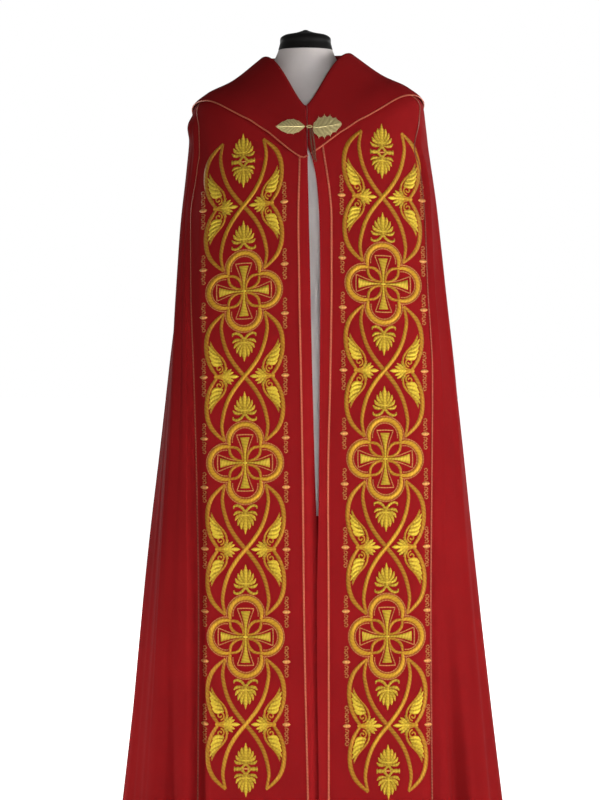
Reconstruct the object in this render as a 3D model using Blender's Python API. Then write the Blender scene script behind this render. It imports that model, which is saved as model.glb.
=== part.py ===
"""Cope vestment on a limbless dress form.

Frame: metres, +Z up, the garment's front faces -Y and its right-hand side as seen from the front is +X.
The origin is on the floor, at the middle of the dress form's base.

Every cloth piece lies on one outer form, which is read at an ANGLE round the body (0 in front,
positive towards +X, 180 degrees behind) and at a LEVEL down the fall (0 at the neck, 8 at the hem).
"""

import math
from typing import NamedTuple

import bpy
import numpy as np

# Driving dimensions, in metres
CLOTH = 0.002
SEAM_GAP = 0.0004
COLLAR_CLOTH = 0.0024
COLLAR_FALL = 0.0036
COLLAR_STAND = -0.0050
COLLAR_STAND_LEVELS = 0.32
BAND_TOP_LEVEL = 0.30
BAND_BACK_LEVEL = 2.35
YOKE_GAP_LEVELS = 0.02
PIPING_RADIUS = 0.0015
BRAID_WIDTH = 0.0030
BRAID_THICKNESS = 0.0008
BRAID_LIFT = 0.0020
BRAID_LIFT_LEVEL = 3.3
BRAID_TOP_LEVEL = 2.05
HEM_LEVEL = 8.0

POLE_RADIUS = 0.0125
BASE_RADIUS = 0.165
BASE_THICKNESS = 0.012
BASE_EDGE = 0.004
POLE_SOCKET_RADIUS = 0.024
POLE_SOCKET_HEIGHT = 0.040
TORSO_BOTTOM = 0.660
NECK_TOP = 1.5865
CAP_TOP = 1.627

CLASP_HEIGHT = 1.4215
LEAF_CLEARANCE = 0.0008
LEAF_THICKNESS = 0.0024
LEAF_EDGE = 0.0010
LINK_CENTRE_X = 0.0072
LINK_LENGTH = 0.0125
LINK_WIDTH = 0.0065
LINK_WIRE = 0.0011
CHAIN_TOP = (0.0140, 1.4150)
CHAIN_FOOT = (0.0188, 1.3570)
CHAIN_WIDTH = 0.0034
CHAIN_THICKNESS = 0.0016
CHAIN_CLEARANCE = 0.0026


class Level(NamedTuple):
    """One ring of the garment's outer form: its heights, half widths and depths."""

    front_z: float
    side_z: float
    back_z: float
    left: float
    right: float
    front: float
    back: float
    square_left: float
    square_right: float


# The rings from the neck to the hem; a ring's level is its place in this table.
LEVELS = (
    Level(1.461, 1.571, 1.576, 0.085, 0.091, 0.130, 0.078, 1.50, 1.50),  # neck
    Level(1.428, 1.525, 1.516, 0.146, 0.154, 0.142, 0.102, 1.80, 1.80),  # mid shoulder
    Level(1.398, 1.500, 1.460, 0.196, 0.204, 0.150, 0.118, 2.10, 2.10),  # shoulder end
    Level(1.368, 1.469, 1.405, 0.225, 0.235, 0.156, 0.130, 2.20, 2.30),  # shoulder tip
    Level(1.325, 1.385, 1.345, 0.235, 0.245, 0.159, 0.142, 2.25, 2.40),  # upper arm
    Level(1.240, 1.250, 1.240, 0.248, 0.262, 0.161, 0.160, 2.40, 2.50),  # chest
    Level(0.930, 0.930, 0.930, 0.273, 0.298, 0.165, 0.210, 3.30, 2.80),  # waist
    Level(0.480, 0.480, 0.480, 0.314, 0.340, 0.175, 0.285, 3.90, 3.00),  # knee
    Level(0.045, 0.045, 0.045, 0.353, 0.389, 0.190, 0.350, 3.90, 3.00),  # hem
)
FRONT_DIP_POWER = 4
BACK_SQUARE = 2.1
SHOULDER_TILT = 0.042


class FrontLine(NamedTuple):
    """Where the lines that run down the two front bands cross one level, as X in metres."""

    level: float
    outer_left: float
    inner_left: float
    edge_left: float
    edge_right: float
    inner_right: float
    outer_right: float
    tuck: float


# The left edge is tucked behind the right one below the waist; tuck is how far it sits back.
FRONT_LINES = (
    FrontLine(0.00, -0.0700, -0.0130, 0.0022, 0.0034, 0.0170, 0.0700, 0.000),
    FrontLine(2.35, -0.1980, -0.0120, 0.0028, 0.0040, 0.0325, 0.1985, 0.000),
    FrontLine(2.70, -0.2115, -0.0120, 0.0032, 0.0068, 0.0340, 0.2170, 0.000),
    FrontLine(3.10, -0.2150, -0.0118, 0.0040, 0.0116, 0.0360, 0.2265, 0.000),
    FrontLine(3.50, -0.2105, -0.0119, 0.0042, 0.0154, 0.0385, 0.2240, 0.000),
    FrontLine(4.00, -0.2095, -0.0125, 0.0046, 0.0200, 0.0425, 0.2140, 0.000),
    FrontLine(4.25, -0.2130, -0.0130, 0.0049, 0.0219, 0.0448, 0.2215, 0.000),
    FrontLine(4.50, -0.2170, -0.0135, 0.0054, 0.0237, 0.0470, 0.2275, 0.000),
    FrontLine(5.00, -0.2270, -0.0143, 0.0065, 0.0268, 0.0505, 0.2350, 0.000),
    FrontLine(5.50, -0.2260, -0.0125, 0.0093, 0.0284, 0.0505, 0.2400, 0.000),
    FrontLine(6.00, -0.2195, -0.0090, 0.0134, 0.0274, 0.0480, 0.2495, 0.002),
    FrontLine(6.50, -0.2135, -0.0055, 0.0194, 0.0256, 0.0438, 0.2475, 0.011),
    FrontLine(7.00, -0.2100, -0.0032, 0.0290, 0.0220, 0.0450, 0.2455, 0.016),
    FrontLine(8.00, -0.2120, 0.0060, 0.0340, 0.0262, 0.0452, 0.2485, 0.018),
)


class SeamDip(NamedTuple):
    """How far the outer form dips along the outer edges of the left and right bands, at one level."""

    level: float
    left: float
    right: float


SEAM_DIPS = (
    SeamDip(3.377, 0.0000, 0.0000),
    SeamDip(3.716, 0.0042, 0.0010),
    SeamDip(4.085, 0.0100, 0.0060),
    SeamDip(4.477, 0.0128, 0.0080),
    SeamDip(4.888, 0.0124, 0.0070),
    SeamDip(5.314, 0.0120, 0.0030),
    SeamDip(5.750, 0.0140, 0.0000),
    SeamDip(6.190, 0.0172, 0.0000),
    SeamDip(6.640, 0.0195, 0.0010),
    SeamDip(7.090, 0.0210, 0.0030),
    SeamDip(8.000, 0.0220, 0.0040),
)
# How wide each dip is towards the body cloth and towards the band
DIP_BODY_SIDE = {"left": 0.025, "right": 0.020}
DIP_BAND_SIDE = {"left": 0.023, "right": 0.020}


class CollarPoint(NamedTuple):
    """The collar's lower edge at an angle from the opening, in degrees: its level and its stand off the body."""

    angle: float
    level: float
    lift: float


COLLAR_EDGE = (
    CollarPoint(0.0, 3.12, 0.000),
    CollarPoint(5.0, 2.74, 0.000),
    CollarPoint(10.0, 2.43, 0.000),
    CollarPoint(15.0, 2.22, 0.000),
    CollarPoint(20.0, 2.12, 0.000),
    CollarPoint(28.0, 2.12, 0.000),
    CollarPoint(36.0, 2.25, 0.000),
    CollarPoint(45.0, 2.35, 0.000),
    CollarPoint(60.0, 2.42, 0.000),
    CollarPoint(75.0, 2.56, 0.000),
    CollarPoint(90.0, 2.80, 0.001),
    CollarPoint(115.0, 3.32, 0.004),
    CollarPoint(140.0, 4.02, 0.008),
    CollarPoint(163.0, 4.46, 0.011),
    CollarPoint(180.0, 4.55, 0.012),
)
OPENING_ANGLE = 2.0


class TorsoRing(NamedTuple):
    """One ring of the dress form: its height, half width and depths."""

    height: float
    half_width: float
    front: float
    back: float


TORSO = (
    TorsoRing(TORSO_BOTTOM, 0.152, 0.124, 0.108),
    TorsoRing(0.675, 0.160, 0.131, 0.114),
    TorsoRing(0.800, 0.174, 0.139, 0.122),
    TorsoRing(0.900, 0.174, 0.141, 0.122),
    TorsoRing(1.000, 0.152, 0.138, 0.108),
    TorsoRing(1.090, 0.140, 0.134, 0.096),
    TorsoRing(1.200, 0.158, 0.140, 0.102),
    TorsoRing(1.320, 0.184, 0.146, 0.110),
    TorsoRing(1.400, 0.194, 0.137, 0.108),
    TorsoRing(1.450, 0.188, 0.119, 0.100),
    TorsoRing(1.490, 0.160, 0.098, 0.090),
    TorsoRing(1.515, 0.122, 0.083, 0.080),
    TorsoRing(1.535, 0.092, 0.072, 0.072),
    TorsoRing(1.555, 0.071, 0.063, 0.064),
    TorsoRing(1.572, 0.0600, 0.056, 0.058),
    TorsoRing(NECK_TOP, 0.0540, 0.0535, 0.0545),
)


class Turning(NamedTuple):
    """One corner of a turned profile."""

    radius: float
    height: float


NECK_CAP = (
    Turning(0.0545, NECK_TOP + SEAM_GAP),
    Turning(0.0530, 1.5930),
    Turning(0.0512, 1.6000),
    Turning(0.0510, 1.6070),
    Turning(0.0490, 1.6120),
    Turning(0.0420, 1.6165),
    Turning(0.0330, 1.6187),
    Turning(0.0200, 1.6212),
    Turning(0.0090, 1.6245),
    Turning(0.0035, CAP_TOP),
)
BASE = (
    Turning(BASE_RADIUS - BASE_EDGE, 0.0),
    Turning(BASE_RADIUS, BASE_EDGE),
    Turning(BASE_RADIUS - BASE_EDGE / 2, BASE_THICKNESS - BASE_EDGE / 2),
    Turning(BASE_RADIUS - 2 * BASE_EDGE, BASE_THICKNESS),
    Turning(POLE_SOCKET_RADIUS + BASE_EDGE, BASE_THICKNESS + BASE_EDGE / 2),
    Turning(POLE_SOCKET_RADIUS, BASE_THICKNESS + BASE_EDGE),
    Turning(POLE_SOCKET_RADIUS, POLE_SOCKET_HEIGHT - BASE_EDGE / 2),
    Turning(POLE_SOCKET_RADIUS - BASE_EDGE / 2, POLE_SOCKET_HEIGHT),
)
POLE = (
    Turning(POLE_RADIUS, POLE_SOCKET_HEIGHT + SEAM_GAP),
    Turning(POLE_RADIUS, TORSO_BOTTOM - SEAM_GAP),
)


class Leaf(NamedTuple):
    """One leaf of the clasp: where its stalk is, its size, slope and the teeth of its edge."""

    stalk_x: float
    stalk_z: float
    length: float
    width: float
    slope: float
    fullness: float
    teeth: int
    tooth_depth: float


LEFT_LEAF = Leaf(-0.0012, 1.4220, -0.0565, 0.0310, 0.00, 0.90, 5, 0.05)
RIGHT_LEAF = Leaf(0.0152, 1.4215, 0.0560, 0.0480, 0.20, 0.62, 5, 0.13)


class Fold(NamedTuple):
    """A fold of the body cloth.

    place is a fraction of the way from the left band round the back to the right one, at the hem, and
    lean is how much it grows for each level further up; width is the same kind of fraction; depth is
    outwards at the hem, in metres; top is the fold's highest level.
    """

    place: float
    lean: float
    width: float
    depth: float
    top: float


SIDE_FOLDS = (
    Fold(0.0235, 0.0165, 0.013, 0.005, 6.6),
    Fold(0.0420, 0.0175, 0.017, -0.011, 6.6),
    Fold(0.0870, 0.000, 0.030, 0.007, 2.9),
    Fold(0.141, 0.002, 0.028, -0.005, 4.2),
    Fold(0.198, 0.000, 0.030, 0.013, 2.7),
    Fold(0.240, 0.000, 0.026, -0.016, 4.0),
    Fold(0.770, 0.000, 0.026, -0.018, 3.8),
    Fold(0.822, 0.000, 0.030, 0.013, 2.7),
    Fold(0.860, -0.003, 0.024, -0.006, 4.6),
    Fold(0.899, 0.000, 0.028, 0.011, 3.0),
    Fold(0.951, 0.018, 0.025, -0.032, 6.6),
)


class Swell(NamedTuple):
    """A local bulge of the body cloth: its place and width, its middle level and reach, and its depth."""

    place: float
    width: float
    level: float
    reach: float
    depth: float


SWELLS = (
    Swell(0.021, 0.020, 3.9, 0.9, 0.005),
    Swell(0.060, 0.050, 3.5, 0.4, 0.009),
    Swell(0.974, 0.025, 4.5, 1.0, 0.007),
    Swell(0.940, 0.040, 5.6, 0.9, -0.003),
)
BACK_FOLD_START = 0.250
BACK_FOLD_END = 0.755
BACK_FOLD_COUNT = 9
BACK_FOLD_DEPTH = 0.028
BACK_FOLD_TOP = 3.4
BACK_FOLD_DRIFT = 0.16
BACK_FOLD_DRIFT_TURNS = 3.3
BACK_FOLD_DRIFT_START = 0.9
BACK_FOLD_UNEVEN = 0.30
BACK_FOLD_UNEVEN_TURNS = 2.6
BACK_FOLD_UNEVEN_START = 2.0
FOLD_GROWTH = 1.35

# Steps of the cloth's rings and columns
SIDE_COLUMNS = 18
BACK_COLUMNS = 62
FALL_ROWS = 18
BAND_BACK_ROWS = 14
BAND_PLACES = (0.0, 0.18, 0.36, 0.54, 0.71, 0.85, 0.93, 0.975, 1.0)
SIDE_POWER = 1.5
BORDER_COLUMNS = 5
TUCK_POWER = 2.0
COLLAR_COLUMNS = 60
COLLAR_FALL_ROWS = 6
BRAID_ROWS = 30


def column(rows, name):
    """One named column of a table."""
    return np.array([getattr(row, name) for row in rows])


def smooth(at, knots, values):
    """Read a table between its rows with a monotone cubic, which never overshoots them."""
    step = np.diff(knots)
    rise = np.diff(values) / step
    same_way = rise[:-1] * rise[1:] > 0
    total = np.where(same_way, rise[:-1] + rise[1:], 1.0)
    inner_slope = np.where(same_way, 2 * rise[:-1] * rise[1:] / total, 0.0)
    slope = np.concatenate(([rise[0]], inner_slope, [rise[-1]]))
    at = np.clip(at, knots[0], knots[-1])
    row = np.clip(np.searchsorted(knots, at, side="right") - 1, 0, len(step) - 1)
    part = (at - knots[row]) / step[row]
    rest = 1 - part
    start = (1 + 2 * part) * rest**2 * values[row] + part * rest**2 * step[row] * slope[row]
    end = part**2 * (3 - 2 * part) * values[row + 1] - part**2 * rest * step[row] * slope[row + 1]
    return start + end


def ring(level, name):
    """A column of LEVELS at any level."""
    return smooth(level, np.arange(len(LEVELS), dtype=float), column(LEVELS, name))


def front_line(level, name):
    """A column of FRONT_LINES at any level."""
    return smooth(level, column(FRONT_LINES, "level"), column(FRONT_LINES, name))


def signed_power(value, power):
    """Raise a number's size to a power and keep its sign."""
    return np.sign(value) * np.abs(value) ** power


def outer_form(angle, level):
    """The smooth outer form's point at an angle in radians and a level."""
    sine, cosine = np.sin(angle), np.cos(angle)
    ahead, behind = np.maximum(cosine, 0.0), np.maximum(-cosine, 0.0)
    across = np.where(sine < 0, ring(level, "left"), ring(level, "right"))
    square = np.where(sine < 0, ring(level, "square_left"), ring(level, "square_right"))
    power = np.where(cosine > 0, 2 / square, 2 / BACK_SQUARE)
    deep = np.where(cosine > 0, ring(level, "front"), ring(level, "back"))
    side_z = ring(level, "side_z")
    front_part = (ring(level, "front_z") - side_z) * ahead**FRONT_DIP_POWER
    back_part = (ring(level, "back_z") - side_z) * behind**2
    x = across * signed_power(sine, power)
    y = -deep * signed_power(cosine, power)
    tilt = SHOULDER_TILT * x * (1 - level / HEM_LEVEL)
    dip = (seam_dip(x, level, "left") + seam_dip(x, level, "right")) * (cosine > 0)
    return np.stack([x, y + dip, side_z + front_part + back_part + tilt], axis=-1)


def seam_dip(x, level, side_name):
    """How far the front of the outer form dips near the outer edge of one band."""
    off_seam = (x - front_line(level, "outer_" + side_name)) * (-1 if side_name == "left" else 1)
    width = np.where(off_seam > 0, DIP_BODY_SIDE[side_name], DIP_BAND_SIDE[side_name])
    return smooth(level, column(SEAM_DIPS, "level"), column(SEAM_DIPS, side_name)) * bump(off_seam / width)


def angle_at(x, level):
    """The angle at which the front of the outer form passes through X."""
    across = np.where(x < 0, ring(level, "left"), ring(level, "right"))
    square = np.where(x < 0, ring(level, "square_left"), ring(level, "square_right"))
    share = np.clip(np.abs(x) / across, 0.0, 1.0)
    return np.sign(x) * np.arcsin(share ** (square / 2))


def front_place(x, z):
    """The angle and level at which the front of the outer form passes through X and Z."""
    above, below = np.zeros_like(x * z), np.full_like(x * z, HEM_LEVEL)
    for _ in range(40):
        level = (above + below) / 2
        too_high = outer_form(angle_at(x, level), level)[..., 2] > z
        above, below = np.where(too_high, level, above), np.where(too_high, below, level)
    return angle_at(x, level), level


def normals(points):
    """Outward unit normals of a grid whose columns run towards +X in front and whose rows run down."""
    along = np.gradient(points, axis=1)
    down = np.gradient(points, axis=0)
    cross = np.cross(down, along)
    return cross / np.linalg.norm(cross, axis=-1, keepdims=True)


def form_normal(angle, level):
    """The smooth outer form's outward unit normal."""
    nudge = 1e-3
    round_body = outer_form(angle + nudge, level) - outer_form(angle - nudge, level)
    down = outer_form(angle, level + nudge) - outer_form(angle, level - nudge)
    cross = np.cross(down, round_body)
    return cross / np.linalg.norm(cross, axis=-1, keepdims=True)


def bump(value):
    """A smooth hump that is 1 at 0 and fades to 0 at -1 and 1."""
    return np.where(np.abs(value) < 1, np.cos(np.pi * np.clip(value, -1, 1) / 2) ** 2, 0.0)


def growth(level, top):
    """How much of its hem depth a fold has reached at a level."""
    return np.clip((level - top) / (HEM_LEVEL - top), 0.0, 1.0) ** FOLD_GROWTH


def fold_push(place, level):
    """How far the body cloth stands out from the outer form, from its folds."""
    push = 0.0
    for fold in SIDE_FOLDS:
        off_line = place - fold.place - fold.lean * (HEM_LEVEL - level)
        push = push + fold.depth * growth(level, fold.top) * bump(off_line / fold.width)
    for swell in SWELLS:
        along, across = (level - swell.level) / swell.reach, (place - swell.place) / swell.width
        push = push + swell.depth * bump(along) * bump(across)
    turn = (place - BACK_FOLD_START) / (BACK_FOLD_END - BACK_FOLD_START)
    wander = np.sin(2 * np.pi * BACK_FOLD_DRIFT_TURNS * turn + BACK_FOLD_DRIFT_START)
    wave = np.sin(2 * np.pi * (BACK_FOLD_COUNT * turn + BACK_FOLD_DRIFT * np.sin(np.pi * turn) * wander))
    uneven = np.sin(2 * np.pi * BACK_FOLD_UNEVEN_TURNS * turn + BACK_FOLD_UNEVEN_START)
    depth = BACK_FOLD_DEPTH * (1 + BACK_FOLD_UNEVEN * uneven)
    inside = (turn > 0) & (turn < 1)
    return push + np.where(inside, depth * wave * growth(level, BACK_FOLD_TOP), 0.0)


def material(name, colour, roughness, metallic=0.0):
    """A plain Principled material in linear colour."""
    made = bpy.data.materials.new(name)
    made.use_nodes = True
    shader = made.node_tree.nodes["Principled BSDF"]
    shader.inputs["Base Color"].default_value = (*colour, 1.0)
    shader.inputs["Roughness"].default_value = roughness
    shader.inputs["Metallic"].default_value = metallic
    return made


def add_object(name, vertices, faces, finish, sharp_angle=40.0):
    """Make one named, smooth-shaded object from points and faces."""
    mesh = bpy.data.meshes.new(name)
    mesh.from_pydata([tuple(point) for point in vertices], [], faces)
    mesh.validate()
    mesh.materials.append(finish)
    mesh.shade_smooth()
    mesh.set_sharp_from_angle(angle=math.radians(sharp_angle))
    made = bpy.data.objects.new(name, mesh)
    bpy.context.scene.collection.objects.link(made)
    return made


def wall(name, outside, inside, finish):
    """Close two matching grids into one thin wall; the first grid faces outwards."""
    rows, columns = outside.shape[:2]
    count = rows * columns
    index = np.arange(count).reshape(rows, columns)
    faces = []
    for row in range(rows - 1):
        for col in range(columns - 1):
            a, b = index[row, col], index[row, col + 1]
            c, d = index[row + 1, col + 1], index[row + 1, col]
            faces.append((a, d, c, b))
            faces.append((a + count, b + count, c + count, d + count))
    for col in range(columns - 1):
        a, b = index[0, col], index[0, col + 1]
        faces.append((a, b, b + count, a + count))
        a, b = index[-1, col], index[-1, col + 1]
        faces.append((b, a, a + count, b + count))
    for row in range(rows - 1):
        a, b = index[row, 0], index[row + 1, 0]
        faces.append((b, a, a + count, b + count))
        a, b = index[row, -1], index[row + 1, -1]
        faces.append((a, b, b + count, a + count))
    points = np.concatenate([outside.reshape(-1, 3), inside.reshape(-1, 3)])
    return add_object(name, points, [tuple(int(i) for i in face) for face in faces], finish)


def tube(name, loops, finish, closed=False):
    """Join a row of matching loops into one body, with flat ends or as a closed ring."""
    count, sides = loops.shape[:2]
    faces = []
    for step in range(count if closed else count - 1):
        here, there = step * sides, (step + 1) % count * sides
        for side in range(sides):
            beside = (side + 1) % sides
            faces.append((here + side, here + beside, there + beside, there + side))
    if not closed:
        faces.append(tuple(reversed(range(sides))))
        faces.append(tuple(range((count - 1) * sides, count * sides)))
    return add_object(name, loops.reshape(-1, 3), faces, finish)


def sweep(path, outward, half_width, half_height, sides, closed=False):
    """Loops of a flat or round section along a path, with one axis on the outward direction."""
    ahead = np.roll(path, -1, axis=0) - np.roll(path, 1, axis=0) if closed else np.gradient(path, axis=0)
    ahead /= np.linalg.norm(ahead, axis=1, keepdims=True)
    across = np.cross(outward, ahead)
    across /= np.linalg.norm(across, axis=1, keepdims=True)
    up = np.cross(ahead, across)
    turns = 2 * np.pi * (np.arange(sides) + 0.5) / sides
    scale = 1 / math.cos(math.pi / sides) if sides == 4 else 1.0
    wide = (half_width * scale * np.cos(turns))[None, :, None] * across[:, None, :]
    high = (half_height * scale * np.sin(turns))[None, :, None] * up[:, None, :]
    return path[:, None, :] + wide + high


def turned(name, profile, finish, segments=32):
    """Turn a profile, from the bottom up, into a closed body about the form's axis."""
    turns = 2 * np.pi * np.arange(segments) / segments
    radius, height = column(profile, "radius")[:, None], column(profile, "height")[:, None]
    x, y = radius * np.cos(turns), radius * np.sin(turns)
    return tube(name, np.stack([x, y, np.broadcast_to(height, x.shape)], axis=-1), finish)


def make_torso(finish, rings=20, segments=36):
    """The dress form's covered torso, closed above and below."""
    heights = column(TORSO, "height")
    row = np.linspace(0, len(TORSO) - 1, rings)
    height = smooth(row, np.arange(len(TORSO), dtype=float), heights)[:, None]
    turns = 2 * np.pi * np.arange(segments) / segments
    x = smooth(height, heights, column(TORSO, "half_width")) * np.cos(turns)
    front = smooth(height, heights, column(TORSO, "front"))
    back = smooth(height, heights, column(TORSO, "back"))
    y = np.where(np.sin(turns) < 0, front, back) * np.sin(turns)
    return tube("form_torso", np.stack([x, y, np.broadcast_to(height, x.shape)], axis=-1), finish)


def fall_levels(start):
    """A column of row levels down the fall for each start level; the rows soon meet the common ones."""
    level = np.linspace(BAND_TOP_LEVEL, HEM_LEVEL, FALL_ROWS)[:, None]
    fade = np.linspace(1.0, 0.0, FALL_ROWS)[:, None] ** 4
    return level + fade * (np.atleast_1d(start) - BAND_TOP_LEVEL)


def cloth_wall(name, angle, level, finish, push=0.0):
    """A wall whose outside lies on the outer form, moved out by push; its columns run to larger angles."""
    sheer = form_normal(angle, level)
    points = outer_form(angle, level) + sheer * np.asarray(push)[..., None]
    facing = normals(points)
    for edge in (np.s_[:, 0], np.s_[:, -1], np.s_[0], np.s_[-1]):
        facing[edge] = sheer[edge]
    return wall(name, points, points - facing * CLOTH, finish)


def make_band(name, side, finish):
    """One front band, from the middle of the back over the shoulder and down to the hem."""
    side_name = "left" if side < 0 else "right"
    inner_level, outer_level = fall_levels(BAND_TOP_LEVEL), fall_levels(BAND_BACK_LEVEL)
    inner_front = angle_at(front_line(inner_level, "inner_" + side_name), inner_level)
    outer_front = angle_at(front_line(outer_level, "outer_" + side_name), outer_level)
    part = np.linspace(0.0, 1.0, BAND_BACK_ROWS, endpoint=False)[:, None]
    middle = side * (np.pi - SEAM_GAP / ring(0.0, "back"))
    inner_angle = np.concatenate([middle + (inner_front[0] - middle) * part, inner_front])
    outer_angle = np.concatenate([middle + (outer_front[0] - middle) * part, outer_front])
    inner_level = np.concatenate([np.full_like(part, BAND_TOP_LEVEL), inner_level])
    outer_level = np.concatenate([np.full_like(part, BAND_BACK_LEVEL), outer_level])
    across = np.array(BAND_PLACES)
    across = across[::-1] if side < 0 else across
    angle = inner_angle * (1 - across) + outer_angle * across
    level = inner_level * (1 - across) + outer_level * across
    return cloth_wall(name, angle, level, finish)


def make_border(name, side, finish):
    """The narrow border along one front edge."""
    side_name = "left" if side < 0 else "right"
    level = fall_levels(BAND_TOP_LEVEL)
    edge = front_line(level, "edge_" + side_name)
    inner = front_line(level, "inner_" + side_name) - side * SEAM_GAP
    across = np.linspace(0.0, 1.0, BORDER_COLUMNS)
    across = across[::-1] if side < 0 else across
    angle = angle_at(edge * (1 - across) + inner * across, level)
    tuck = front_line(level, "tuck") * (1 - across) ** TUCK_POWER * (side < 0)
    return cloth_wall(name, angle, level + 0 * across, finish, push=-tuck)


def seam_angle(level):
    """The angle that a seam gap spans at a level."""
    return SEAM_GAP / ring(level, "front")


def body_places():
    """The body cloth's columns, closer together across the deep folds of the back and near the bands."""
    side = BACK_FOLD_START * np.linspace(0.0, 1.0, SIDE_COLUMNS, endpoint=False) ** SIDE_POWER
    back = np.linspace(BACK_FOLD_START, BACK_FOLD_END, BACK_COLUMNS)
    return np.concatenate([side, back, 1.0 - side[::-1]])


def make_body(finish):
    """The body of the cope: sides and back, from the right band round to the left one."""
    place = body_places()
    seam = np.where((place > 0) & (place < 1), YOKE_GAP_LEVELS, 0.0)
    level = fall_levels(BAND_BACK_LEVEL + seam)
    left, right = level[:, :1], level[:, -1:]
    left_angle = angle_at(front_line(left, "outer_left"), left) - seam_angle(left)
    right_angle = angle_at(front_line(right, "outer_right"), right) + seam_angle(right) - 2 * np.pi
    angle = left_angle * (1 - place) + right_angle * place
    push = fold_push(place[None, :], level)
    return cloth_wall("body_cloth", angle[:, ::-1], level[:, ::-1], finish, push=push[:, ::-1])


def collar_edge(angle, name):
    """A column of COLLAR_EDGE at any angle, counted from the middle of the front opening."""
    from_front = np.degrees(np.arccos(np.cos(angle - math.radians(OPENING_ANGLE))))
    return smooth(from_front, column(COLLAR_EDGE, "angle"), column(COLLAR_EDGE, name))


def collar_angles(level):
    """The collar's columns, from its left front edge round the back to its right one, at some levels."""
    left = angle_at(front_line(level, "edge_left"), level)
    right = angle_at(front_line(level, "edge_right"), level)
    place = np.linspace(0.0, 1.0, COLLAR_COLUMNS)
    return left * (1 - place) + (right - 2 * np.pi) * place


class CollarStep(NamedTuple):
    """One step along the collar's section: where its middle line is and which way the cloth faces there."""

    fall: float
    stand: float
    out: float
    rise: float
    face_out: float
    face_up: float


def collar_section():
    """The collar's section, from the lower edge up the fall, over the roll and down the stand."""
    turn = (COLLAR_FALL - COLLAR_STAND) / 2
    middle = (COLLAR_FALL + COLLAR_STAND) / 2
    falls = np.linspace(1.0, 0.0, COLLAR_FALL_ROWS)
    steps = [CollarStep(fall, 0.0, COLLAR_FALL, 0.0, 1.0, 0.0) for fall in falls]
    for bend in np.radians((45.0, 90.0, 135.0)):
        out, up = math.cos(bend), math.sin(bend)
        steps.append(CollarStep(0.0, 0.0, middle + turn * out, turn * up, out, up))
    steps.append(CollarStep(0.0, 0.0, COLLAR_STAND, 0.0, -1.0, 0.0))
    steps.append(CollarStep(0.0, COLLAR_STAND_LEVELS, COLLAR_STAND, 0.0, -1.0, 0.0))
    return steps


def collar_points(step, thickness_share):
    """One row of the collar's points; the share is 1 on its outside and -1 on its inside."""
    neck = collar_angles(np.zeros(1))
    level = step.fall * collar_edge(neck, "level") + step.stand
    angle = collar_angles(level)
    lift = collar_edge(angle, "lift") * step.fall**2
    facing = form_normal(angle, level)
    climb = outer_form(angle, level * 0) - outer_form(angle, level * 0 + 0.02)
    climb /= np.linalg.norm(climb, axis=-1, keepdims=True)
    half = thickness_share * COLLAR_CLOTH / 2
    out = (step.out + lift + half * step.face_out)[:, None] * facing
    return outer_form(angle, level) + out + (step.rise + half * step.face_up) * climb


def make_collar(finish):
    """The shawl collar: one wall that stands inside the neck, rolls over and falls to its lower edge."""
    section = collar_section()
    outside = np.stack([collar_points(step, 1.0) for step in section])
    inside = np.stack([collar_points(step, -1.0) for step in section])
    return wall("collar", outside[::-1, ::-1], inside[::-1, ::-1], finish)


def make_piping(finish):
    """The thin gold piping along the collar's lower edge."""
    edge = collar_points(collar_section()[0], 0.0)
    level = collar_edge(collar_angles(np.zeros(1)), "level")
    outward = form_normal(collar_angles(level), level)
    away = np.cross(outward, np.gradient(edge, axis=0))
    away /= np.linalg.norm(away, axis=-1, keepdims=True)
    path = edge + away * (PIPING_RADIUS + SEAM_GAP)
    return tube("collar_piping", sweep(path, outward, PIPING_RADIUS, PIPING_RADIUS, 4), finish)


def make_braid(name, line, finish):
    """A flat gold braid down one of the front lines, just outside the cloth, and a little further below the collar."""
    level = np.linspace(BRAID_TOP_LEVEL, HEM_LEVEL - 0.01, BRAID_ROWS)
    angle = angle_at(front_line(level, line), level)
    outward = form_normal(angle, level)
    lift = BRAID_LIFT * np.clip(level - BRAID_LIFT_LEVEL, 0.0, 1.0)
    path = outer_form(angle, level) + outward * (SEAM_GAP + BRAID_THICKNESS / 2 + lift)[:, None]
    return tube(name, sweep(path, outward, BRAID_WIDTH / 2, BRAID_THICKNESS / 2, 4), finish)


def clasp_frame(x, z):
    """A point just outside the collar and the directions across, up and out of it there."""
    angle, level = front_place(np.array([x]), np.array([z]))
    outward = form_normal(angle, level)[0]
    across = np.cross((0.0, 0.0, 1.0), outward)
    across /= np.linalg.norm(across)
    up = np.cross(outward, across)
    clear = COLLAR_FALL + COLLAR_CLOTH / 2 + LEAF_CLEARANCE
    return outer_form(angle, level)[0] + outward * clear, across, up, outward


def make_leaf(name, leaf, finish, stations=26, ribs=5):
    """One leaf of the clasp: a plate on the collar, thicker along its rib, with a toothed edge."""
    middle_x = leaf.stalk_x + leaf.length / 2
    origin, across, up, outward = clasp_frame(middle_x, leaf.stalk_z)
    along = np.linspace(0.0, 1.0, stations)[:, None]
    share = np.linspace(-1.0, 1.0, ribs)[None, :]
    tooth = 1 + leaf.tooth_depth * np.cos(2 * np.pi * leaf.teeth * along)
    half = np.maximum(leaf.width / 2 * np.sin(np.pi * along**0.9) ** leaf.fullness * tooth, LEAF_EDGE)
    flat_x = (along - 0.5) * leaf.length + 0 * share
    flat_z = share * half + leaf.slope * np.abs(leaf.length) * along
    thick = LEAF_EDGE + (LEAF_THICKNESS - LEAF_EDGE) * (1 - share**2) * np.sin(np.pi * along)
    base = origin + flat_x[..., None] * across + flat_z[..., None] * up
    front = base + thick[..., None] * outward
    if leaf.length < 0:
        base, front = base[::-1], front[::-1]
    front, base = front.transpose(1, 0, 2)[::-1], base.transpose(1, 0, 2)[::-1]
    return wall(name, front, base, finish)


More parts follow.
